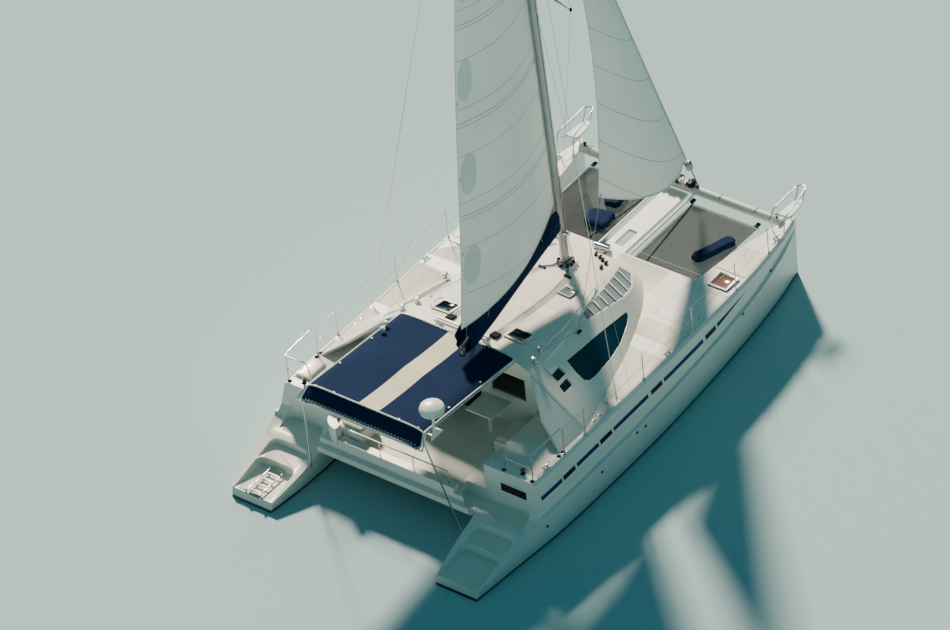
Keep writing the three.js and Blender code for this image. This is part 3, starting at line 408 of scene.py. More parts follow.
# Rails, stanchions, frames, ladder and wheel: stainless steel tube, bent, welded and polished, and a
# little clouded by hands and salt. The windlass and the cap shrouds' wire are of the same steel.
steel, _ = mottled("polished_stainless_steel", "#d5d7d8", "#bfc1c1", 9.0, 5.0, (0.12, 0.34), Metallic=1.0)
STEEL = (steel, "stainless")
BODIES = {"boarding_ladder": "ladder", "steering_wheel": "helm_wheel", "boom": "boom_and_sail"}
for node in ("pulpit_port", "pulpit_starboard", "lifelines_port", "lifelines_starboard", "after_rail",
             "bimini_frame", "boarding_ladder", "steering_wheel", "windlass", "shroud_port",
             "shroud_starboard"):
    shell(node, f"{node}_steel", *STEEL, soft=0.0, angle=64.0, body=BODIES.get(node, "boat"))

# Mast, boom and furler: extruded aluminium sections, anodised, which gives a soft grey sheen that dulls
# in patches. The hatch frames further on are of the same metal.
alloy, _ = mottled("anodised_aluminium", "#a4a8aa", "#8b9093", 3.0, 6.0, (0.34, 0.5), Metallic=1.0)
for node in ("mast", "forestay", "boom"):
    shell(node, f"{node}_section", alloy, "spar_alloy", soft=0.0, angle=40.0, body=BODIES.get(node, "boat"))

# Bimini: one length of woven acrylic canvas laced over the tube frame, with a cream strip down the
# middle, and an after flap from the same cloth that slopes to the last tube.
def canvas_of(name, dark, light):
    """Woven acrylic cloth: matt, a little faded in patches, with its weave raised."""
    made, place = mottled(name, dark, light, 1.3, 6.0, Roughness=0.9, Specular_IOR_Level=0.12)
    # Threads are 0.6 mm apart; drawn 12 mm apart so that they show. A wave's scale of 1 is 314 mm.
    warp, weft = [add(made, "ShaderNodeTexWave", {"Vector": place, "Scale": 166.0 / math.tau},
                      bands_direction=way).outputs["Fac"] for way in "XY"]
    weave = add(made, "ShaderNodeMath", {0: warp, 1: weft}, operation="MULTIPLY")
    raised = add(made, "ShaderNodeBump", {"Height": weave.outputs["Value"], "Strength": 0.12,
                                          "Distance": 0.001})
    feed(made, Normal=raised.outputs["Normal"])
    return made


navy_canvas = canvas_of("navy_acrylic_canvas", "#061c3a", "#0a284c")
cream_canvas = canvas_of("cream_acrylic_canvas", "#d8cdb4", "#e6dcc6")


def named(name):
    """The piece just added, with its name and its mesh's."""
    piece = bpy.context.object
    piece.name = name
    piece.data.name = name
    return piece


def cloth(name, columns, rows, at, thick=0.0015):
    """A sheet on a grid: at(s, t) gives each point's place, s across and t along, both 0 to 1."""
    deselect()
    bpy.ops.mesh.primitive_grid_add(x_subdivisions=columns, y_subdivisions=rows, size=1.0, calc_uvs=True)
    piece = named(name)
    for point in piece.data.vertices:
        point.co = at(point.co.x + 0.5, point.co.y + 0.5)
    if thick:
        applied(piece, "SOLIDIFY", thickness=thick, offset=0.0)
    return smoothed(piece, 60.0)


BIMINI = {"aft": -5.18, "fore": -2.13, "half": 1.47, "aft_z": 3.10, "fore_z": 2.84, "flap_x": -5.44,
          "flap_z": 2.82, "flap_half": 1.55, "drop": 0.075, "strip": (-0.30, 0.19)}


def bimini_at(s, t):
    """Across from starboard to port, and aft from the fore tube to the flap's foot."""
    b = BIMINI
    turn = 0.87
    ends = [(b["fore"], b["fore_z"], b["half"]), (b["aft"], b["aft_z"], b["half"]),
            (b["flap_x"], b["flap_z"], b["flap_half"])]
    (x0, z0, h0), (x1, z1, h1) = ends[:2] if t <= turn else ends[1:]
    part = t / turn if t <= turn else (t - turn) / (1.0 - turn)
    x, z, half = (a + part * (c - a) for a, c in ((x0, x1), (z0, z1), (h0, h1)))
    if t > turn:
        half -= 0.13 * max(0.0, (part - 0.55) / 0.45) ** 3
    y = (2.0 * s - 1.0) * half
    edge = abs(2.0 * s - 1.0)
    crown = -b["drop"] * edge ** 12
    bays = abs(math.sin(math.pi * 2.0 * part)) if t <= turn else 0.0
    sag = -0.022 * bays * (1.0 - edge ** 2)
    pucker = 0.004 * noise.noise(Vector((x * 3.0, y * 5.0, 1.7)))
    return Vector((x, y, z + crown + sag + pucker - 0.004))


bimini = cloth("bimini_canvas", 64, 96, bimini_at)
wear(bimini, navy_canvas, "navy_canvas")
bimini.data.materials.append(cream_canvas)
for face in bimini.data.polygons:
    low, high = BIMINI["strip"]
    if low < face.center.y < high and face.center.x > BIMINI["aft"]:
        face.material_index = 1
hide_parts("bimini_top")

# Mainsail: off-white polyester cloth, cut in panels and sewn, a little translucent. It runs in the
# mast's track and on the boom, twisting open towards its head.
# The mast's foot and rake, and the boom's pin and its swing in the photograph
MAST = {"x": 1.6, "foot": 2.165, "rake": 0.049}
SWING = {"pin": 0.15, "turn": 0.16}


def on_rig(x, y, z):
    """A place in the mast's own frame, in the boat's."""
    c, s = math.cos(MAST["rake"]), math.sin(MAST["rake"])
    return Vector((MAST["x"] + x * c - z * s, y, MAST["foot"] + x * s + z * c))


def on_boom(x, y, z):
    """A place in the frame that swings with the boom, in the boat's."""
    c, s = math.cos(SWING["turn"]), math.sin(SWING["turn"])
    return on_rig(x * c - y * s - SWING["pin"], x * s + y * c, z)


# Sailcloth is calendered polyester: matt, greyed by handling, and it lets some light through
TRANSLUCENT = {"Subsurface_Weight": 0.25, "Subsurface_Scale": 0.02, "Subsurface_Radius": (1.0, 1.0, 1.0)}
sailcloth, _ = mottled("polyester_sailcloth", "#e9ebe4", "#c3cbc8", 0.7, 6.0, Roughness=0.5, **TRANSLUCENT)

MAINSAIL = {"foot": 4.18, "bottom": 1.705, "top": 15.45, "camber": 0.085, "twist": 0.16, "head": 0.17}


def mainsail_at(s, t):
    """Across from the mast to the leech, and up from the boom."""
    m = MAINSAIL
    chord = m["foot"] * (1 - t) * (1 + 0.4 * t + 1.3 * t * t) + m["head"] * t
    depth = m["camber"] * chord * 4 * s * (1 - s) * (0.8 + 0.4 * s)
    turn = m["twist"] * t
    z = m["bottom"] + t * (m["top"] - m["bottom"])
    crease = 0.006 * noise.noise(Vector((s * 9.0, t * 26.0, 0.3))) * min(1.0, 8.0 * s)
    return on_boom(-s * chord * math.cos(turn), -depth - s * chord * math.sin(turn) + crease, z)


mainsail = cloth("mainsail_cloth", 40, 120, mainsail_at, thick=0.003)
wear(mainsail, sailcloth, "sailcloth", "boom_and_sail")
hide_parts("mainsail")

# Headsail: the same cloth, its luff in the furler's foil and its clew held by the sheet. The foot curves
# low over the foredeck.
STAY = {"foot": Vector((6.0, 0.0, 1.95)), "hounds": 12.85, "out": 0.222}
stay_top = Vector((MAST["x"] - math.sin(MAST["rake"]) * STAY["hounds"] + STAY["out"], 0.0,
                   MAST["foot"] + math.cos(MAST["rake"]) * STAY["hounds"]))
JIB = {"tack": 0.008, "head": 0.92, "clew": Vector((1.92, -0.76, 3.96)), "aft": 0.019}


def jib_at(s, t):
    """Across from the stay to the leech, and up from the foot."""
    luff = [STAY["foot"].lerp(stay_top, JIB[end]) - Vector((JIB["aft"], 0, 0)) for end in ("tack", "head")]
    fore = luff[0].lerp(luff[1], t)
    aft = JIB["clew"].lerp(luff[1], t) + Vector((1.1 * t * (1 - t), -1.5 * t * (1 - t), 0))
    narrow = math.hypot(fore.x - aft.x, fore.y - aft.y) + 0.09
    sag = 4 * s * (1 - s)
    crease = 0.006 * noise.noise(Vector((s * 7.0, t * 20.0, 5.3))) * min(1.0, 8.0 * s)
    at = fore.lerp(aft, s)
    return Vector((at.x - 0.06 * t * s, at.y - 0.1 * narrow * sag + crease,
                   at.z - 0.26 * sag * (1 - t) ** 3))


jib = cloth("jib_cloth", 40, 110, jib_at, thick=0.003)
wear(jib, sailcloth, "sailcloth")
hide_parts("jib")

# Sail cover: a bag of navy canvas along the boom, open at the top while the sail is up and tucked in at
# its ends. Its sides sag and fold where nothing fills them.
COVER = {"length": 4.19, "fore": 0.11}
# Half its section, as y and z from its foot to its top edge
COVER_HALF = [(0.087, 1.12), (0.230, 1.23), (0.265, 1.34), (0.235, 1.50), (0.110, 1.679)]


def cover_at(s, t):
    """Round the bag from one top edge under the boom to the other, and aft along it."""
    ring = [(-y, z) for y, z in reversed(COVER_HALF)] + COVER_HALF
    place = s * (len(ring) - 1)
    k = min(int(place), len(ring) - 2)
    part = place - k
    soft = part * part * (3 - 2 * part) * 0.4 + part * 0.6
    y = ring[k][0] + soft * (ring[k + 1][0] - ring[k][0])
    z = ring[k][1] + soft * (ring[k + 1][1] - ring[k][1])
    x = -(COVER["fore"] + t * (COVER["length"] - COVER["fore"]))
    fold = noise.noise(Vector((x * 2.2, z * 7.0 + (3.0 if y > 0 else 0.0), 0.4)))
    droop = noise.noise(Vector((x * 1.1, 4.0 if y > 0 else 8.0, 2.2)))
    slack = max(0.0, 1.0 - abs(z - 1.36) / 0.3)
    tuck = max(0.0, (t - 0.90) / 0.10) ** 2 + max(0.0, (0.05 - t) / 0.05) ** 2
    y *= 1.0 - 0.42 * tuck * slack
    z -= 0.05 * tuck * max(0.0, (z - 1.36) / 0.3)
    return on_boom(x, y * (1 - 0.03 * slack) + 0.028 * fold * slack, z + 0.022 * droop * slack)


cover = cloth("sail_cover_canvas", 72, 180, cover_at, thick=0.003)
wear(cover, navy_canvas, "navy_canvas", "boom_and_sail")
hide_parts("sail_cover")

# Nets: knotless polyester mesh, dark grey, laced to the beam, the catwalk's rails and the hulls. Its
# strands are drawn a little broader than real ones, so that the net shows as a net.
net_cord, _ = mottled("grey_polyester_net", "#202427", "#3a3f42", 4.0, 4.0, Roughness=0.85)
NET = {"z": 1.306, "pitch": 0.024, "strand": 0.0130, "thick": 0.004}
# The port net's outline, x and y
NET_EDGE = [(3.18, 0.48), (3.18, 1.75), (3.28, 2.02), (3.54, 2.15), (5.46, 2.20), (5.46, 0.48)]


def strands(name, edge):
    """Strands both ways across an outline, each one flat ribbon."""
    deselect()
    bpy.ops.mesh.primitive_grid_add(x_subdivisions=1, y_subdivisions=1, size=1.0)
    piece = named(name)
    points, faces = [], []

    def crossings(axis, value):
        """Where a line meets the outline."""
        found = []
        for (ax, ay), (bx, by) in zip(edge, edge[1:] + edge[:1]):
            a, b = ((ax, ay), (bx, by)) if axis == 0 else ((ay, ax), (by, bx))
            if (a[0] - value) * (b[0] - value) < 0:
                found.append(a[1] + (value - a[0]) / (b[0] - a[0]) * (b[1] - a[1]))
        return sorted(found)

    for axis in (0, 1):
        low = min(p[axis] for p in edge)
        high = max(p[axis] for p in edge)
        for n in range(1, int((high - low) / NET["pitch"])):
            value = low + n * NET["pitch"]
            ends = crossings(axis, value)
            if len(ends) < 2:
                continue
            first = len(points)
            for end in (ends[0], ends[-1]):
                for side, up in ((-1, -1), (1, -1), (1, 1), (-1, 1)):
                    along, over = end, value + side * NET["strand"] / 2
                    z = NET["z"] + up * NET["thick"] / 2 + (0.001 if axis else -0.001)
                    points.append((over, along, z) if axis == 0 else (along, over, z))
            a = [first + k for k in range(8)]
            faces += [[a[k], a[(k + 1) % 4], a[(k + 1) % 4 + 4], a[k + 4]] for k in range(4)]
            faces += [[a[3], a[2], a[1], a[0]], [a[4], a[5], a[6], a[7]]]
    piece.data.clear_geometry()
    piece.data.from_pydata(points, [], faces)
    take(piece)
    edited((bpy.ops.mesh.normals_make_consistent, {"inside": False}))
    return piece


for side, s in SIDES.items():
    net = strands(f"net_{side}", [(x, s * y) for x, y in NET_EDGE])
    wear(net, net_cord, "net")
    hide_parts(f"trampoline_{side}")

# Sunbathing pads on the nets: foam in navy canvas, filled so that its faces swell between the edges.
# A cloth run under a little air pressure gives them their form.
FRAMES = 20


def pad_at(node, name, material, slot, swell, voxel=0.02, cap=0.03, above=None):
    """A pad swollen from its CAD solid, or from the part of it above a height, by the cap at most."""
    piece = copied(name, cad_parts[node].data)
    edited((bpy.ops.mesh.remove_doubles, MERGED))
    if above:
        edited((bpy.ops.mesh.bisect, {"plane_co": (0, 0, above), "plane_no": (0, 0, 1), "clear_inner": True,
                                      "use_fill": True}))
    low, high = Vector(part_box(node)[0]), Vector(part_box(node)[1])
    low.z = above or low.z
    middle = (low + high) / 2
    for point in piece.data.vertices:
        out = point.co - middle
        flat = Vector((out.x, out.y, 0.0))
        flat.length = max(0.0, flat.length - swell)
        point.co = middle + Vector((flat.x, flat.y, out.z * 0.72))
    applied(piece, "REMESH", mode="VOXEL", voxel_size=voxel)
    start = [point.co.copy() for point in piece.data.vertices]
    soft = piece.modifiers.new("swell", "CLOTH")
    soft.settings.use_pressure = True
    soft.settings.uniform_pressure_force = 4.0
    soft.settings.effector_weights.gravity = 0.0
    soft.point_cache.frame_start = 1
    soft.point_cache.frame_end = FRAMES
    for n in range(1, FRAMES + 1):
        bpy.context.scene.frame_set(n)
    bpy.ops.object.modifier_apply(modifier=soft.name)
    for point, was in zip(piece.data.vertices, start):
        moved = point.co - was
        if moved.length > cap:
            moved.length = cap
        point.co = was + moved
    bpy.context.scene.frame_set(1)
    applied(piece, "SUBSURF", levels=1, render_levels=1)
    wear(smoothed(piece, 80.0), material, slot)
    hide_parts(node)
    return piece


for node in ("pad_starboard", "pad_port_aft", "pad_port_fore"):
    pad_at(node, f"{node}_quilt", navy_canvas, "navy_canvas", 0.03)

# Underwater gear: keels, rudders and drive legs under copper antifouling, chalky and slimed, and
# propellers cast in bronze, which tarnishes from gold to brown.
antifouling, _ = mottled("copper_antifouling", "#15273a", "#32413f", 6.0, 7.0, Roughness=0.8)
bronze, _ = mottled("cast_bronze", "#b08a4e", "#8a6d44", 25.0, 5.0, Metallic=1.0, Roughness=0.38)
PAINTED = (antifouling, "antifouling")
for side in SIDES:
    shell(f"keel_{side}", f"keel_fin_{side}", *PAINTED, soft=0.006, angle=45.0)
    shell(f"rudder_{side}", f"rudder_blade_{side}", *PAINTED, soft=0.0, angle=45.0,
          body=f"rudder_blade_{side}")
    shell(f"saildrive_{side}", f"saildrive_leg_{side}", *PAINTED, soft=0.004, angle=45.0)
    shell(f"propeller_{side}", f"propeller_bronze_{side}", bronze, "bronze", soft=0.002, angle=35.0,
          body=f"screw_{side}")

# Small mouldings: the traveller's beam across the roof's after edge, the cockpit table and the radar's
# cover, in the same white gelcoat as the deck and bolted down.
for node in ("traveller", "cockpit_table", "radar"):
    shell(node, f"{node}_moulding", *GEL, soft=0.004)

# Deck fittings: cleats, fillers and stanchion feet are cast or pressed stainless steel,
# bedded on sealant and bolted through the deck.
def lines(name, routes, width, curved=False, sides=2):
    """Round rods, wires or taut ropes, each along its own points, as one mesh."""
    deselect()
    bpy.ops.curve.primitive_bezier_curve_add()
    made = bpy.context.object
    made.data.splines.clear()
    for route in routes:
        spline = made.data.splines.new("NURBS" if curved else "POLY")
        spline.points.add(len(route) - 1)
        for point, place in zip(spline.points, route):
            point.co = (*place, 1.0)
        if curved:
            spline.order_u = 3
            spline.use_endpoint_u = True
    made.data.bevel_depth = width / 2
    made.data.bevel_resolution = sides
    made.data.use_fill_caps = True
    bpy.ops.object.convert(target="MESH")
    piece = named(name)
    return smoothed(piece, 60.0)


def turned(name, rings, steps=24):
    """A turned piece standing on its origin: the radius and height of each ring, from its foot up."""
    deselect()
    radius, height = rings[0]
    bpy.ops.mesh.primitive_circle_add(vertices=steps, radius=radius, fill_type="NGON")
    piece = named(name)
    bpy.ops.object.mode_set(mode="EDIT")
    bpy.ops.mesh.select_all(action="SELECT")
    bpy.ops.transform.translate(value=(0, 0, height))
    for wide, up in rings[1:]:
        bpy.ops.mesh.extrude_region_move(TRANSFORM_OT_translate={"value": (0, 0, up - height)})
        grow = wide / radius
        bpy.ops.transform.resize(value=(grow, grow, 1.0), center_override=(0, 0, up))
        radius, height = wide, up
    bpy.ops.object.mode_set(mode="OBJECT")
    edited((bpy.ops.mesh.normals_make_consistent, {"inside": False}))
    return smoothed(piece, 40.0)


def block(name, low, high, soft=0.006, taper=1.0):
    """A moulded block between two corners, its edges rounded and its top drawn in by the taper."""
    deselect()
    bpy.ops.mesh.primitive_cube_add(size=1.0)
    piece = named(name)
    low, high = Vector(low), Vector(high)
    for point in piece.data.vertices:
        wide = taper if point.co.z > 0 else 1.0
        point.co = Vector((point.co.x * wide, point.co.y * wide, point.co.z))
    piece.data.transform(Matrix.Translation((low + high) / 2) @ Matrix.Diagonal((*(high - low), 1.0)))
    applied(piece, "BEVEL", width=soft, segments=3, limit_method="NONE")
    return smoothed(piece, 40.0)


def stand(place, up=(0, 0, 1), heading=0.0):
    """Where a fitting stands: the place of its foot, which way its top points, and its heading."""
    lean = Vector((0, 0, 1)).rotation_difference(Vector(up)).to_matrix().to_4x4()
    return Matrix.Translation(place) @ lean @ Matrix.Rotation(heading, 4, "Z")


def repeated(name, model, stands):
    """Copies of a fitting, each with its own mesh, joined in one piece."""
    pieces = []
    for where in stands:
        piece = copied(name, model.data)
        piece.data.transform(where)
        pieces.append(piece)
    take(model)
    bpy.ops.object.delete()
    return joined(name, pieces)


def meets(piece, start, way=(0, 0, -1)):
    """Where a line from a point meets a piece's skin, and the way that skin faces."""
    met, place, normal, _ = piece.ray_cast(Vector(start), Vector(way).normalized())
    if not met:
        raise ValueError(f"nothing under {tuple(start)} on {piece.name}")
    return place, normal


ALOFT = 4.0


def on_deck(piece, x, y, heading=0.0, sink=0.002):
    """A fitting's stand on a skin, straight below a point."""
    place, normal = meets(piece, (x, y, ALOFT))
    return stand(place - normal * sink, normal, heading)


def on_hulls(places, sink=0.002):
    """Stands on both hulls' decks, from each place's x, y and heading on the port side."""
    return [on_deck(hulls[side], x, s * y, s * turn, sink) for side, s in SIDES.items()
            for x, y, turn in places]


HORN = {"long": 0.125, "high": 0.055, "thick": 0.026, "feet": 0.045}
horns = lines("cleat_horns", [[(-HORN["long"], 0, HORN["high"] + 0.012), (-0.06, 0, HORN["high"]),
                               (0.06, 0, HORN["high"]), (HORN["long"], 0, HORN["high"] + 0.012)]],
              HORN["thick"], curved=True)
cleat_feet = [turned("cleat_foot", [(0.030, 0.0), (0.028, 0.006), (0.014, 0.014), (0.012, 0.05)], 16)
              for _ in (0, 1)]
for foot, way in zip(cleat_feet, (-1, 1)):
    foot.data.transform(Matrix.Translation((way * HORN["feet"], 0, 0)))
cleat = joined("cleat", [horns] + cleat_feet)
# x, y and heading on the port side
CLEATS = [(5.18, 2.84, 0.12), (0.78, 3.12, 0.0), (-3.45, 3.08, 0.0)]
wear(repeated("mooring_cleats", cleat, on_hulls(CLEATS)), *STEEL)

filler = turned("filler", [(0.036, 0.0), (0.036, 0.005), (0.031, 0.008), (0.012, 0.008), (0.010, 0.005)], 24)
FILLERS = [(-1.75, 3.06, 0.0), (-1.55, 3.06, 0.0), (2.05, 3.00, 0.0)]
wear(repeated("deck_fillers", filler, on_hulls(FILLERS, sink=0.0)), *STEEL)

flange = turned("flange", [(0.038, 0.0), (0.037, 0.005), (0.020, 0.010), (0.017, 0.045)], 20)
POSTS = [-3.94, -2.92, -2.20, -0.15, 1.63, 3.30, 4.70]
post_places = []
for side, s in SIDES.items():
    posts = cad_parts[f"lifelines_{side}"]
    for x in POSTS:
        near = [p.co for p in posts.data.vertices if abs(p.co.x - x) < 0.04 and p.co.z < 1.75]
        y = sum(p.y for p in near) / len(near)
        if abs(y) > 2.8:
            post_places.append(on_deck(hulls[side], x, y, sink=0.001))
wear(repeated("stanchion_feet", flange, post_places), *STEEL)

# Turnbuckles at the cap shrouds' feet: a fork, a body with two threads and a locknut, turned from
# stainless steel, standing in line with the wire.
turnbuckle = turned("turnbuckle", [(0.008, 0.0), (0.008, 0.03), (0.016, 0.04), (0.016, 0.20), (0.009, 0.22),
                                   (0.009, 0.30), (0.013, 0.31), (0.013, 0.40), (0.007, 0.41)], 16)
buckles = []
for side, s in SIDES.items():
    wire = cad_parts[f"shroud_{side}"]
    low = min(wire.data.vertices, key=lambda p: p.co.z).co
    high = max(wire.data.vertices, key=lambda p: p.co.z).co
    foot = Vector((-1.05, s * 3.15, low.z + 0.02))
    buckles.append(stand(foot, high - foot))
wear(repeated("shroud_turnbuckles", turnbuckle, buckles), *STEEL)

# Skin fittings and drains low on the hulls: bosses of black acetal with a dark bore, screwed in from
# outside. The plastic is moulded, even and dull, with fine scuffs.
black_plastic, _ = mottled("black_acetal", "#101214", "#23272a", 40.0, 4.0, Roughness=0.5, IOR=1.48,
                           Specular_IOR_Level=0.15)
BLACK = (black_plastic, "navy_canvas")
boss = turned("boss", [(0.032, -0.002), (0.032, 0.010), (0.024, 0.016), (0.016, 0.016), (0.014, 0.002)], 20)
# x and z along the outer side
BOSSES = [(-0.86, 0.77), (-0.55, 0.72), (-3.95, 0.52), (-2.1, 0.62), (3.2, 1.02), (4.6, 1.12)]
boss_places = []
for side, s in SIDES.items():
    for x, z in BOSSES:
        place, normal = meets(hulls[side], (x, s * 6.0, z), (0, -s, 0))
        boss_places.append(stand(place, normal))
wear(repeated("skin_fittings", boss, boss_places), *BLACK)

# Non-skid panels on hulls, roof, cockpit sole and foredeck: moulded in, with the same diamond grit as
# the steps and a glossy border round each.
def panels(name, skin, spans, floor_z, margin, top=None):
    """Panels laid on a skin, each between x aft and fore and, where given, y low and high."""
    laid = [patch(skin, "panel", within((floor_z, top), span[:2], span[2:] or (None, None)), 0.003,
                  facing=(0, 0, 1), margin=margin) for span in spans]
    return wear(joined(name, laid), nonskid, "gelcoat")


DECK = [(-3.80, -2.35), (-2.27, -1.15), (-0.95, 0.62), (0.95, 1.55), (1.70, 3.04), (3.70, 4.62)]
for side, hull in hulls.items():
    panels(f"deck_nonskid_{side}", hull, DECK, 1.44, 0.05)
ROOF = [(-1.85, -0.02, -1.02, -0.06), (0.02, 1.25, -1.0, -0.1), (-1.85, -0.02, 0.06, 1.02),
        (0.02, 1.25, 0.1, 1.0)]
panels("roof_nonskid", mouldings["cabin"], ROOF, 1.9, 0.03)
panels("cockpit_nonskid", mouldings["cockpit"], [(-4.2, -2.12, -1.42, 1.42)], 0.93, 0.02, top=0.97)
FOREDECK = [(2.30, 3.08, -1.6, -0.32), (2.30, 3.08, 0.32, 1.6)]
panels("foredeck_nonskid", mouldings["bridgedeck"], FOREDECK, 1.45, 0.03)

# Roof gear: handrails of white painted tube on pillars, steel winches and black rope clutches, bolted
# through the roof by the cockpit. The paint is smooth and half glossy, rubbed duller by hands.
painted_tube, _ = mottled("white_painted_tube", "#f6f4ee", "#dcdad2", 12.0, 5.0, (0.25, 0.5), IOR=1.5,
                          Coat_Weight=0.2)
WHITE = (painted_tube, "gelcoat")
cabin = mouldings["cabin"]
HANDRAIL = [(1.20, 1.02), (0.62, 1.18), (0.05, 1.33), (-0.50, 1.46), (-1.05, 1.50)]
for side, s in SIDES.items():
    tops, routes = [], []
    for x, y in HANDRAIL:
        place, _ = meets(cabin, (x, s * y, ALOFT))
        tops.append(place + Vector((0, 0, 0.075)))
        routes.append([place - Vector((0, 0, 0.004)), place + Vector((0, 0, 0.075))])
    ends = [tops[0] + Vector((0.09, s * -0.02, -0.075)), tops[-1] + Vector((-0.09, s * 0.01, -0.078))]
    rail = lines("rail", [[ends[0], *tops, ends[1]]], 0.028, curved=True)
    pillars = lines("pillars", routes, 0.022)
    wear(joined(f"roof_handrail_{side}", [rail, pillars]), *WHITE)
    low, high = [meets(cabin, (x, s * y, ALOFT))[0] for x, y in ((-1.03, 1.23), (-1.44, 1.22))]
    rise = Vector((0, 0, 0.06))
    grip = lines(f"corner_grip_{side}", [[low, low + rise, high + rise, high]], 0.022, curved=True)
    wear(grip, *STEEL)

# A winch's radius and height at each ring: flange, drum, and the self-tailing jaws on top
WINCH = [(0.070, 0.0), (0.068, 0.018), (0.052, 0.026), (0.043, 0.070), (0.047, 0.105), (0.060, 0.112),
         (0.060, 0.120), (0.050, 0.126), (0.062, 0.134), (0.062, 0.146), (0.026, 0.156), (0.022, 0.150)]
winch = turned("winch", WINCH, 28)
# Four on the roof, and two on the port side deck
WINCHES = [(cabin, -1.43, 1.56), (cabin, -1.78, 1.68), (cabin, -1.43, -1.56), (cabin, -1.78, -1.68),
           (hulls["port"], -0.34, 2.34), (hulls["port"], 0.44, 2.34)]
winch_places = []
for skin, x, y in WINCHES:
    place, normal = meets(skin, (x, y, ALOFT))
    winch_places.append(stand(place - Vector((0, 0, 0.004)), normal + Vector((0, 0, 3.0))))
pad = turned("winch_pad", [(0.085, -0.045), (0.085, 0.0), (0.078, 0.006), (0.020, 0.006)], 24)
wear(repeated("winch_pads", pad, winch_places), *GEL)
wear(repeated("sheet_winches", winch, winch_places), *STEEL)

clutch_body = block("clutch_body", (-0.11, -0.018, 0), (0.11, 0.018, 0.055), 0.008, 0.9)
clutch_lever = block("clutch_lever", (-0.10, -0.012, 0.05), (0.03, 0.012, 0.068), 0.005)
clutch = joined("clutch", [clutch_body, clutch_lever])
CLUTCHES = [(-1.60, s * (0.50 + 0.045 * n)) for s in (1, -1) for n in range(4)]
wear(repeated("rope_clutches", clutch, [on_deck(cabin, x, y) for x, y in CLUTCHES]), *BLACK)

# Running rigging: braided polyester, matt, its strands 2 mm wide but drawn 8 mm wide so that the flecks
# of the second colour show. Eight halyards and reef lines run from the mast's foot to the clutches.
ROPES = {"white_braid": ("#d9d8d2", "#a8a9a6"), "blue_braid": ("#d2d5da", "#24487f"),
         "dark_braid": ("#3a3f45", "#22262b")}
braids = {}
for name, (light, fleck) in ROPES.items():
    rope, rope_place = finish_of(name, Roughness=0.8)
    weave = add(rope, "ShaderNodeTexVoronoi", {"Vector": rope_place, "Scale": 125.0}).outputs["Distance"]
    flecks = add(rope, "ShaderNodeMapRange", {"Value": weave, "From Min": 0.35, "From Max": 0.6})
    rope_tint = add(rope, "ShaderNodeMix", {"Factor": flecks.outputs["Result"], "A": linear(light),
                                            "B": linear(fleck)}, data_type="RGBA")
    rope_bump = add(rope, "ShaderNodeBump", {"Height": weave, "Strength": 0.4, "Distance": 0.001})
    feed(rope, Base_Color=rope_tint.outputs["Result"], Normal=rope_bump.outputs["Normal"])
    braids[name] = rope
WHITE_BRAID = (braids["white_braid"], "sailcloth")

FALLS = [(s, n) for s in (1, -1) for n in range(4)]
routes = []
for s, n in FALLS:
    spread = 0.045 * n
    stops = [(1.47, s * (0.13 + 0.25 * spread)), (1.20, s * (0.28 + 0.8 * spread)),
             (0.45, s * (0.42 + spread)), (-0.20, s * (0.46 + spread)), (-0.80, s * (0.48 + spread)),
             (-1.30, s * (0.50 + spread)), (-1.60, s * (0.50 + spread))]
    points = []
    for (ax, ay), (bx, by) in zip(stops, stops[1:]):
        for part in (0.0, 0.25, 0.5, 0.75):
            x, y = ax + part * (bx - ax), ay + part * (by - ay)
            points.append(meets(cabin, (x, y, ALOFT))[0] + Vector((0, 0, 0.018)))
    routes.append(points)
for key, name in enumerate(("white_braid", "blue_braid", "dark_braid")):
    wear(lines(f"halyard_falls_{name}", routes[key::3], 0.012, sides=1), braids[name], "navy_canvas")
sheave = turned("sheave", [(0.030, 0.0), (0.030, 0.012), (0.024, 0.016), (0.024, 0.024), (0.030, 0.028),
                           (0.030, 0.040)], 16)
ORGANISER = [(1.20, s * (0.26 + 0.065 * n)) for s in (1, -1) for n in range(3)]
wear(repeated("rope_organisers", sheave, [on_deck(cabin, x, y) for x, y in ORGANISER]), *BLACK)

# Stern rail feet and quarter bollards: moulded in black acetal, and screwed down to the deck through
# the rail's flanges and the bollard's base.
rail_foot = turned("rail_foot", [(0.050, -0.002), (0.048, 0.012), (0.030, 0.026), (0.022, 0.030)], 18)
FEET = [(-3.94, 2.40, 0.0), (-3.94, 3.10, 0.0), (-3.03, 3.10, 0.0), (-2.88, 3.10, 0.0)]
wear(repeated("stern_rail_feet", rail_foot, on_hulls(FEET)), *BLACK)
quarter_bollard = turned("quarter_bollard", [(0.060, -0.002), (0.050, 0.012), (0.030, 0.022), (0.030, 0.085),
                                             (0.052, 0.098), (0.050, 0.112), (0.020, 0.120)], 20)
wear(repeated("quarter_bollards", quarter_bollard, on_hulls([(-3.84, 2.80, 0.0)])), *BLACK)

# Canvas edges: the top is laced to its frame with white cord through eyelets along the fore tube, the
# after tube and the flap's foot, and bound with white webbing along its sides.
# White polyester braid and webbing: even in colour, and half glossy where it is pulled tight
white_cord, _ = mottled("white_polyester_cord", "#f6f4ee", "#dcdad2", 12.0, 5.0, (0.25, 0.5), IOR=1.5,
                        Coat_Weight=0.2)
CORD = (white_cord, "sailcloth")


def laced(row, inner, stitches):
    """A zigzag of lacing cord between two lines across the top, at these shares of its length."""
    return [bimini_at(0.01 + 0.98 * n / stitches, row if n % 2 else inner) + Vector((0, 0, 0.010))
            for n in range(stitches + 1)]


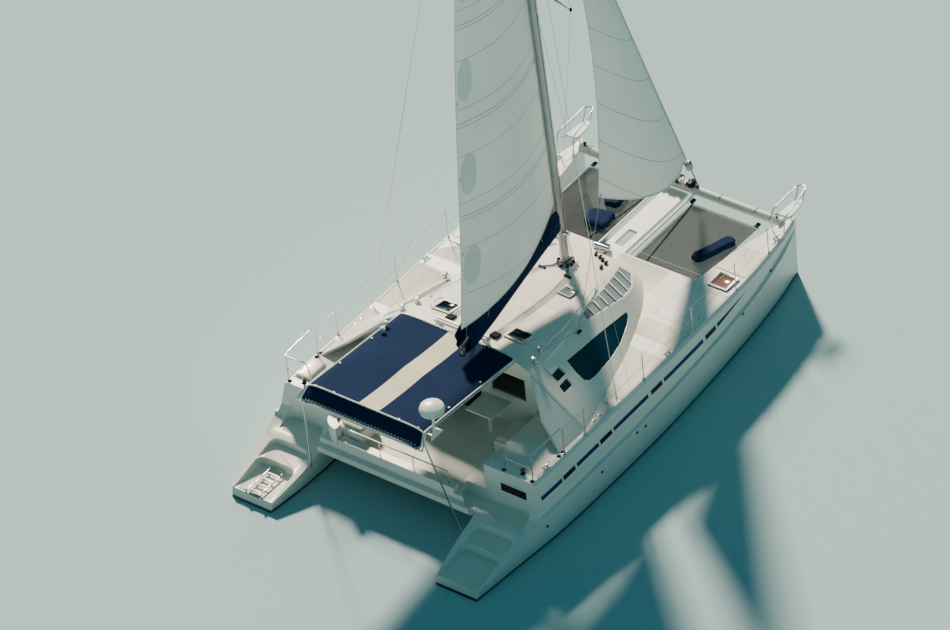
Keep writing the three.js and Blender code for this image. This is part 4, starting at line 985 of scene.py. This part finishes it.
LACINGS = [(0.002, 0.010, 66), (0.864, 0.878, 66), (0.994, 0.975, 70)]
wear(lines("canvas_lacing", [laced(*row) for row in LACINGS], 0.014, sides=1), *CORD)
bindings = [[bimini_at(s, t / 40) + Vector((0, 0, 0.004)) for t in range(41)] for s in (0.004, 0.996)]
bindings += [[bimini_at(s / 40, t) + Vector((0, 0, 0.003)) for s in range(41)] for t in (0.0, 0.87, 0.998)]
wear(lines("canvas_binding", bindings, 0.032, curved=True), *CORD)
rosette = turned("rosette", [(0.024, 0.0), (0.022, 0.006), (0.010, 0.010)], 12)
EYELETS = [(0.97, 0.30), (0.97, 0.60), (0.03, 0.30), (0.03, 0.60), (0.78, 0.86), (0.22, 0.86)]
wear(repeated("canvas_eyelets", rosette, [stand(bimini_at(s, t)) for s, t in EYELETS]), *CORD)

# Sail seams, tapes, batten pockets and fittings: panels about 1.1 m wide sewn with a lapped seam, white
# tapes round the edges, full-length battens in pockets, and reef rings pressed into the leech.
# The lapped seams and batten pockets are drawn as dull grey-teal lines: painted shade, where the doubled
# cloth lets less light through the sail. The radome's joint is a real dark line in the same grey. Doubled
# cloth in the reef patches is a little different in colour and lets less light through
seam_line_and_shade, _ = mottled("seam_line_with_painted_shade", "#5f7174", "#8b989a", 6.0, 4.0, Roughness=0.7)
doubled, _ = mottled("doubled_sailcloth", "#d3d8d2", "#dadfd8", 2.0, 5.0, Roughness=0.6, **TRANSLUCENT)
SEAM_SHADE = (seam_line_and_shade, "sailcloth")


def across(at, low, rise, steps=24):
    """A seam across a sail, from the leech to the luff, falling a little on the way."""
    return [at(1 - n / steps, max(0.002, low + rise * n / steps)) for n in range(steps + 1)]


def fall(low):
    """How far a seam of the mainsail falls on its way to the luff."""
    return -0.095 * (1 - 0.6 * low)


main_seams = [across(mainsail_at, low, fall(low)) for low in [0.06 + 0.08 * n for n in range(12)]]
wear(lines("mainsail_seams", main_seams, 0.011, sides=1), *SEAM_SHADE, "boom_and_sail")
BATTENS = [0.19, 0.35, 0.51, 0.67, 0.83]
pockets = [across(mainsail_at, low + shift, fall(low)) for low in BATTENS for shift in (0.0, 0.0065)]
wear(lines("batten_pockets", pockets, 0.013, sides=1), *SEAM_SHADE, "boom_and_sail")
tapes = [[mainsail_at(1.0, t / 60) for t in range(61)], [mainsail_at(0.0, t / 60) for t in range(61)],
         [mainsail_at(s / 20, 0.0) for s in range(21)], [mainsail_at(s / 8, 0.999) for s in range(9)]]
wear(lines("mainsail_edge_tapes", tapes, 0.018), *CORD, "boom_and_sail")
ring = turned("ring", [(0.040, -0.008), (0.040, 0.008), (0.018, 0.010), (0.016, 0.0)], 18)
RINGS = [(0.985, 0.13), (0.985, 0.26), (0.985, 0.39), (0.985, 0.56), (0.02, 0.13), (0.02, 0.26),
         (0.02, 0.39)]
wear(repeated("reef_rings", ring, [stand(mainsail_at(s, t), (0.16, -1, 0)) for s, t in RINGS]), *STEEL,
     "boom_and_sail")
car = block("car", (-0.055, -0.014, -0.05), (-0.015, 0.014, 0.05), 0.006)
cars = [Matrix.Translation(mainsail_at(0.004, low + fall(low))) for low in BATTENS]
cars += [Matrix.Translation(mainsail_at(0.004, 0.02 + 0.065 * n)) for n in range(15)]
wear(repeated("luff_slides", car, cars), *BLACK, "boom_and_sail")
headboard = block("headboard", (-0.16, -0.012, -0.28), (0.0, 0.012, 0.02), 0.008)
headboard.data.transform(Matrix.Translation(mainsail_at(0.0, 0.999)))
wear(headboard, alloy, "spar_alloy", "boom_and_sail")


def reef_patch(middle):
    """A rounded patch of doubled cloth at the leech."""
    def at(s, t):
        wide, long = 2 * s - 1, 2 * t - 1
        return mainsail_at(0.925 + 0.060 * wide * math.sqrt(1 - long ** 2 / 2),
                           middle + 0.034 * long * math.sqrt(1 - wide ** 2 / 2))
    return cloth("reef_patch", 10, 16, at, thick=0.008)


wear(joined("reef_patches", [reef_patch(middle) for middle in (0.10, 0.26, 0.42, 0.58)]), doubled,
     "sailcloth", "boom_and_sail")

# The jib's seams are the same grey lines of painted shade
jib_seams = [across(jib_at, 0.05 + 0.095 * n, -0.15 * (0.95 - 0.095 * n)) for n in range(10)]
wear(lines("jib_seams", jib_seams, 0.011, sides=1), *SEAM_SHADE)
tapes = [[jib_at(1.0, t / 60) for t in range(61)], [jib_at(0.003, t / 60) for t in range(60)],
         [jib_at(s / 30, 0.0) for s in range(31)]]
wear(lines("jib_edge_tapes", tapes, 0.020), *CORD)
clew = turned("clew", [(0.050, -0.008), (0.050, 0.008), (0.024, 0.010), (0.022, 0.0)], 18)
wear(repeated("jib_clew_ring", clew, [stand(jib_at(0.985, 0.008), (0.1, -1, 0))]), *STEEL)

# Lower shrouds, diamonds and halyards: steel wire from the decks and over the crosstrees' tips, where
# rubber boots guard the sails, and braid drawn tight down the mast to blocks at its foot.
CROSSTREE = {side: on_rig(-0.28, s * 1.23, 7.33) for side, s in SIDES.items()}
wires = []
for side, s in SIDES.items():
    chain, _ = meets(hulls[side], (-0.55, s * 3.12, ALOFT))
    wires.append([chain, on_rig(-0.02, s * 0.07, 7.15)])
    wires.append([on_rig(0.03, s * 0.075, 12.70), CROSSTREE[side], on_rig(0.0, s * 0.075, 1.55)])
wear(lines("lower_shrouds_and_diamonds", wires, 0.008, sides=1), *STEEL)
boot = turned("boot", [(0.010, -0.05), (0.026, -0.03), (0.030, 0.0), (0.026, 0.03), (0.010, 0.05)], 12)
wear(repeated("crosstree_boots", boot, [Matrix.Translation(tip) for tip in CROSSTREE.values()]), *BLACK)
halyards = [[on_rig(0.04 + 0.03 * n, s * 0.078, 13.2 - 0.4 * n), on_rig(0.04 + 0.03 * n, s * 0.078, 0.9),
             on_rig(0.02 + 0.05 * n, s * 0.16, 0.09)] for s in (1, -1) for n in range(2)]
halyards.append([on_rig(-0.12, 0.012, 15.7), on_rig(-0.125, 0.02, 1.6)])
wear(lines("mast_halyards", halyards[::2], 0.012, sides=1), braids["dark_braid"], "navy_canvas")
wear(lines("mast_halyards_light", halyards[1::2], 0.012, sides=1), *WHITE_BRAID)
cheek = block("cheek", (-0.035, -0.022, 0.0), (0.035, 0.022, 0.075), 0.012)
foot_blocks = [Matrix.Translation(on_rig(0.16 * math.cos(turn), 0.17 * math.sin(turn), -0.01))
               @ Matrix.Rotation(turn, 4, "Z")
               for turn in (0.5, 1.1, 1.7, 2.3, -0.5, -1.1, -1.7, -2.3, 3.14)]
wear(repeated("mast_foot_blocks", cheek, foot_blocks), *BLACK)
mast_winch = turned("mast_winch", [(r * 0.8, h * 0.8) for r, h in WINCH], 24)
mast_winches = [stand(on_rig(-0.01, s * 0.066, z), (0.1, s, 0)) for s, z in ((1, 0.62), (-1, 0.84))]
wear(repeated("mast_winches", mast_winch, mast_winches), *STEEL)

# Topping lift, lazy jacks and mainsheet: white braid. The first two hang from the mast and hold the
# boom's end and the cover up, so they swing with them. The tackle leads to the traveller's car.
boom_end = on_boom(-4.05, 0.0, 1.35)
lift = [[on_boom(-0.16, 0.02, 15.76), boom_end]]
jacks = []
for s in (1, -1):
    hang = on_boom(-0.06, s * 0.15, 8.3)
    split = on_boom(-1.9, s * 0.20, 4.4)
    jacks.append([hang, split])
    jacks += [[split, on_boom(-aft, s * 0.235, 1.52)] for aft in (1.0, 2.3, 3.5)]
wear(lines("topping_lift", lift, 0.010, sides=1), *WHITE_BRAID, "boom_and_sail")
wear(lines("lazy_jacks", jacks, 0.007, sides=1), *WHITE_BRAID, "boom_and_sail")
sheet_top, car_top = on_boom(-4.12, 0.0, 1.10), Vector((-1.945, -0.27, 2.955))
span = sheet_top - car_top
side_step = span.cross(Vector((0, 0, 1))).normalized()
parts = [[car_top + side_step * k, sheet_top + side_step * k * 1.4] for k in (-0.03, -0.01, 0.01, 0.03)]
wear(lines("mainsheet_tackle", parts, 0.011, sides=1), *WHITE_BRAID)
tackle = [stand(car_top + Vector((0, 0, -0.02)), span), stand(sheet_top - span.normalized() * 0.06, span)]
tackle_block = block("tackle_block", (-0.030, -0.055, 0.0), (0.030, 0.055, 0.11), 0.02)
wear(repeated("mainsheet_blocks", tackle_block, tackle), *BLACK)

# Headsail sheet: blue-flecked braid, drawn tight from the clew through a lead block on the roof to the
# winch behind it.
lead, lead_up = meets(cabin, (-0.20, -1.62, ALOFT))
winch_at, _ = meets(cabin, (-1.36, -1.60, ALOFT))
sheet = [jib_at(0.985, 0.008), lead + Vector((0, 0, 0.05)), winch_at + Vector((0, 0, 0.07))]
wear(lines("headsail_sheet", [sheet], 0.014), braids["blue_braid"], "navy_canvas")
lead_block = block("lead_block", (-0.05, -0.03, 0.0), (0.05, 0.03, 0.08), 0.015)
wear(repeated("headsail_lead", lead_block, [stand(lead, lead_up)]), *BLACK)

# Masthead gear: a whip aerial, and a wind vane on a short arm, both of black plastic, screwed to the
# mast's cap.
tack = on_rig(-0.31, 0.0, 15.85)
whips = [[tack, tack + Vector((-0.02, 0, 0.45))],
         [tack + Vector((0.2, 0, 0)), tack + Vector((0.55, 0, 0.16))]]
wear(lines("masthead_aerial", whips, 0.008), *BLACK)
vane = block("vane", (-0.16, -0.003, -0.03), (0.10, 0.003, 0.03), 0.002)
vane.data.transform(Matrix.Translation(tack + Vector((0.55, 0, 0.19))))
wear(vane, *BLACK)

# Hatches: acrylic panes set in frames of cast aluminium or moulded gelcoat, on rubber seals, each with
# two dogs. The roof hatches' panes are near black. The fore hatches' panes are painted pinkish bronze and
# the mid hatch's pane pale grey: both colours are painted reflections on tinted acrylic.
pink_reflection_acrylic = acrylic_of("acrylic_with_painted_pink_reflection", "#6d4740", "#8a6258", 0.5)
grey_reflection_acrylic = acrylic_of("acrylic_with_painted_grey_reflection", "#5f686a", "#7f8686", 0.3)


def hatch_lid(node, body, margin, rim, rim_slot, glass):
    """A lid with a raised rim and its pane, the largest face on top, let in a little below it."""
    lid = shell(node, f"{node}_lid", rim, rim_slot, soft=0.004, body=body)
    lid.data.materials.append(glass)
    edited((bpy.ops.mesh.dissolve_limited, FLAT))
    upward = [face for face in lid.data.polygons if face.normal.z > 0.7]
    top = max(upward, key=lambda face: face.area).index
    bpy.ops.object.mode_set(mode="EDIT")
    bpy.ops.mesh.select_mode(type="FACE")
    bpy.ops.mesh.select_all(action="DESELECT")
    bpy.ops.object.mode_set(mode="OBJECT")
    lid.data.polygons[top].select = True
    bpy.ops.object.mode_set(mode="EDIT")
    bpy.ops.mesh.inset(thickness=margin)
    bpy.ops.mesh.inset(thickness=0.004, depth=-0.006)
    lid.active_material_index = 1
    bpy.ops.object.material_slot_assign()
    bpy.ops.mesh.select_mode(type="VERT")
    bpy.ops.object.mode_set(mode="OBJECT")
    return smoothed(lid, 30.0)


# Each lid's body, the width of its rim, the rim's finish and slot, and its pane
SMALL_HATCH = (0.045, *GEL, smoked)
FORE_HATCH = (0.050, alloy, "spar_alloy", pink_reflection_acrylic)
HATCHES = {"roof_hatch_port": ("roof_lid_port", *SMALL_HATCH),
           "roof_hatch_starboard": ("roof_lid_starboard", *SMALL_HATCH),
           "mid_hatch": ("mid_lid", 0.035, alloy, "spar_alloy", grey_reflection_acrylic),
           "fore_hatch_port": ("fore_lid_port", *FORE_HATCH),
           "fore_hatch_starboard": ("fore_lid_starboard", *FORE_HATCH)}
for node, (body, *build) in HATCHES.items():
    lid = hatch_lid(node, body, *build)
    low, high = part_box(node)
    fore = low[0] + 0.86 * (high[0] - low[0])
    spots = [on_deck(lid, fore, low[1] + share * (high[1] - low[1]), 1.57) for share in (0.28, 0.72)]
    dog = block("dog", (-0.030, -0.012, 0.0), (0.030, 0.012, 0.014), 0.004)
    wear(repeated(f"{node}_dogs", dog, spots), *BLACK, body)

# Cockpit benches: lockers moulded in gelcoat, with loose cushions on top, foam in off-white canvas that
# swells a little between its edges.
SEAT_Z = 1.290
for side in SIDES:
    base = copied(f"cockpit_locker_{side}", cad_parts[f"cockpit_bench_{side}"].data)
    edited((bpy.ops.mesh.remove_doubles, MERGED),
           (bpy.ops.mesh.bisect, {"plane_co": (0, 0, SEAT_Z), "plane_no": (0, 0, 1), "clear_outer": True,
                                  "use_fill": True}),
           (bpy.ops.mesh.dissolve_limited, FLAT))
    applied(base, "BEVEL", width=0.012, segments=3, limit_method="ANGLE", angle_limit=math.radians(40))
    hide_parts(f"cockpit_bench_{side}")
    wear(smoothed(base, 35.0), *GEL)
    pad_at(f"cockpit_bench_{side}", f"cockpit_cushion_{side}", cream_canvas, "cream_cushion", 0.02,
           voxel=0.03, above=SEAT_Z + 0.002)

# Stern details: an engine-room louvre in the starboard quarter's after face, dark plastic in a raised
# frame, and a locker lid on the port quarter.
face, out = meets(hulls["starboard"], (-7.0, -2.66, 1.17), (1, 0, 0))
placed = stand(face, out, math.radians(90))
surround = block("louvre_surround", (-0.35, -0.130, -0.03), (0.35, 0.130, 0.022), 0.012)
surround.data.transform(placed)
wear(surround, *GEL)
slats = [block("back", (-0.32, -0.100, 0.010), (0.32, 0.100, 0.026), 0.002)]
for n in range(7):
    slat = block("slat", (-0.31, -0.011, 0.024), (0.31, 0.011, 0.030), 0.002)
    slat.data.transform(Matrix.Translation((0, -0.081 + 0.027 * n, 0)) @ Matrix.Rotation(0.25, 4, "X"))
    slats.append(slat)
louvre = joined("engine_louvre", slats)
louvre.data.transform(placed)
wear(louvre, *BLACK)
quarter, _ = meets(hulls["port"], (-3.44, 2.97, ALOFT))
wear(block("quarter_locker_lid", (-3.75, 2.76, quarter.z - 0.01), (-3.13, 3.10, quarter.z + 0.06), 0.02,
           0.96), *GEL)

# Net edges: a white bolt rope round each net, laced with cord to the beam, the catwalk and the hull, and
# moulded plastic fittings at its corners on the crossbeam.
bolt, cord = [], []
for s in (1, -1):
    edge = [Vector((x, s * y, 1.322)) for x, y in NET_EDGE]
    bolt.append(edge + edge[:1])
    heart = Vector((4.35, s * 1.32, 1.322))
    for a, b in zip(edge, edge[1:] + edge[:1]):
        count = max(2, 2 * int((b - a).length / 0.16))
        points = []
        for n in range(count + 1):
            spot = a.lerp(b, n / count)
            away = Vector((0, 0, 0)) if n % 2 else (spot - heart).normalized() * 0.022
            points.append(spot + away)
        cord.append(points)
wear(lines("net_bolt_ropes", bolt, 0.016), *CORD)
wear(lines("net_lacing", cord, 0.008, sides=1), *CORD)
plate = block("plate", (-0.07, -0.045, 0.0), (0.07, 0.045, 0.05), 0.01)
CORNERS = [(5.52, 0.46), (5.52, 2.13)]
corners = [Matrix.Translation((x, s * y, 1.32)) for s in (1, -1) for x, y in CORNERS]
wear(repeated("net_corner_plates", plate, corners), *BLACK)

# Crossbeam fittings: chafe collars bent from steel rod, anchor rollers between steel cheeks amidships,
# bollards at the ends, and the furler line's blocks.
def circle(centre, radius, plane, steps):
    """A closed ring of points in the plane of two axes."""
    points = []
    for n in range(steps + 1):
        turn = math.tau * n / steps
        point = Vector(centre)
        point[plane[0]] += radius * math.cos(turn)
        point[plane[1]] += radius * math.sin(turn)
        points.append(point)
    return points


collars = [circle((5.73, y, 1.47), 0.103, (0, 2), 24) for y in (-2.36, -1.96, -1.05, 1.05, 1.96, 2.36)]
wear(lines("crossbeam_collars", collars, 0.028), *STEEL)
roller = turned("roller", [(0.020, -0.075), (0.062, -0.070), (0.064, -0.03), (0.036, -0.012), (0.036, 0.012),
                           (0.064, 0.03), (0.062, 0.070), (0.020, 0.075)], 20)
rollers = [stand((5.70, y, 1.630), (0, 1, 0)) for y in (-0.14, 0.14, 0.42)]
wear(repeated("anchor_rollers", roller, rollers), *WHITE)
cheeks = [block("side_plate", (5.60, y - 0.005, 1.565), (5.80, y + 0.005, 1.690), 0.003)
          for y in (-0.22, -0.06, 0.06, 0.22, 0.34, 0.50)]
wear(joined("roller_cheeks", cheeks), *STEEL)
bollard = turned("bollard", [(0.030, 0.0), (0.024, 0.02), (0.024, 0.06), (0.040, 0.07), (0.036, 0.085)], 16)
bollards = [Matrix.Translation((5.72, y, 1.566)) for y in (-2.50, -0.36, -0.46, 0.28, 0.62, 2.50)]
wear(repeated("crossbeam_bollards", bollard, bollards), *BLACK)
housing = [block("housing", (5.62, y - 0.06, 1.560), (5.84, y + 0.06, 1.680), 0.02)
           for y in (-0.31, 0.0, 0.28)]
wear(joined("furler_line_blocks", housing), *BLACK)

# Pulpit seats: white slats that lie across the steel rails at each bow. They cover the flat top of the
# seat in the CAD piece.
for side in SIDES:
    slats = patch(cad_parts[f"pulpit_{side}"], f"pulpit_seat_{side}", within((1.770, 1.795)), 0.012,
                  facing=(0, 0, 1))
    wear(slats, *WHITE)

# Helm: blank instruments in black bezels let into the pod, and two throttle levers of polished steel
# beside it.
bezel = turned("bezel", [(0.055, -0.002), (0.055, 0.012), (0.048, 0.016), (0.046, 0.008)], 28)
dials = []
for y in (1.04, 1.18, 1.32):
    place, normal = meets(mouldings["aft_bulkhead_port"], (-3.4, y, 1.93), (1, 0, 0))
    dials.append(stand(place, normal))
wear(repeated("helm_instruments", bezel, dials), *BLACK)
throttle, _ = meets(mouldings["aft_bulkhead_port"], (-2.18, 1.40, 3.0))
levers = [[Vector((-2.16, y, throttle.z - 0.01)), Vector((-2.20, y, throttle.z + 0.12))]
          for y in (1.36, 1.41)]
wear(lines("throttle_levers", levers, 0.016), *STEEL)

# Radar's seam, where its two covers meet, the sail's track up the mast, and two antenna domes on the
# canopy's frame.
seam = [circle((-5.11, -1.69, 3.70), 0.264, (0, 1), 32)]
wear(lines("radome_seam", seam, 0.008, sides=1), seam_line_and_shade, "gelcoat")
wear(lines("mast_track", [[on_rig(-0.113, 0, 1.45), on_rig(-0.113, 0, 15.75)]], 0.022, sides=1), *BLACK)
dome = turned("dome", [(0.020, -0.10), (0.020, 0.0), (0.050, 0.006), (0.060, 0.030), (0.050, 0.055),
                       (0.022, 0.070)], 20)
domes = [Matrix.Translation(place) for place in ((-2.69, 1.39, 2.92), (-2.90, 1.31, 2.94))]
wear(repeated("antenna_domes", dome, domes), *WHITE)

# Net hems: dark webbing down each net, where two widths of it are sewn together. Small clutches for
# the furling lines stand by the windlass.
hems = [[(5.45, s * 0.50, 1.326), (4.60, s * 0.606, 1.322), (3.97, s * 0.685, 1.322),
         (3.22, s * 0.78, 1.324)] for s in (1, -1)]
wear(lines("net_hems", hems, 0.030, sides=1), black_plastic, "net")
deck_gear = [(2.23, -0.56), (2.005, -0.60), (2.42, -0.16), (2.38, -0.30), (2.30, -0.42)]
gear = block("gear", (-0.07, -0.03, 0.0), (0.07, 0.03, 0.06), 0.012)
wear(repeated("foredeck_clutches", gear, [on_deck(cabin, x, y, 0.4) for x, y in deck_gear]), *BLACK)
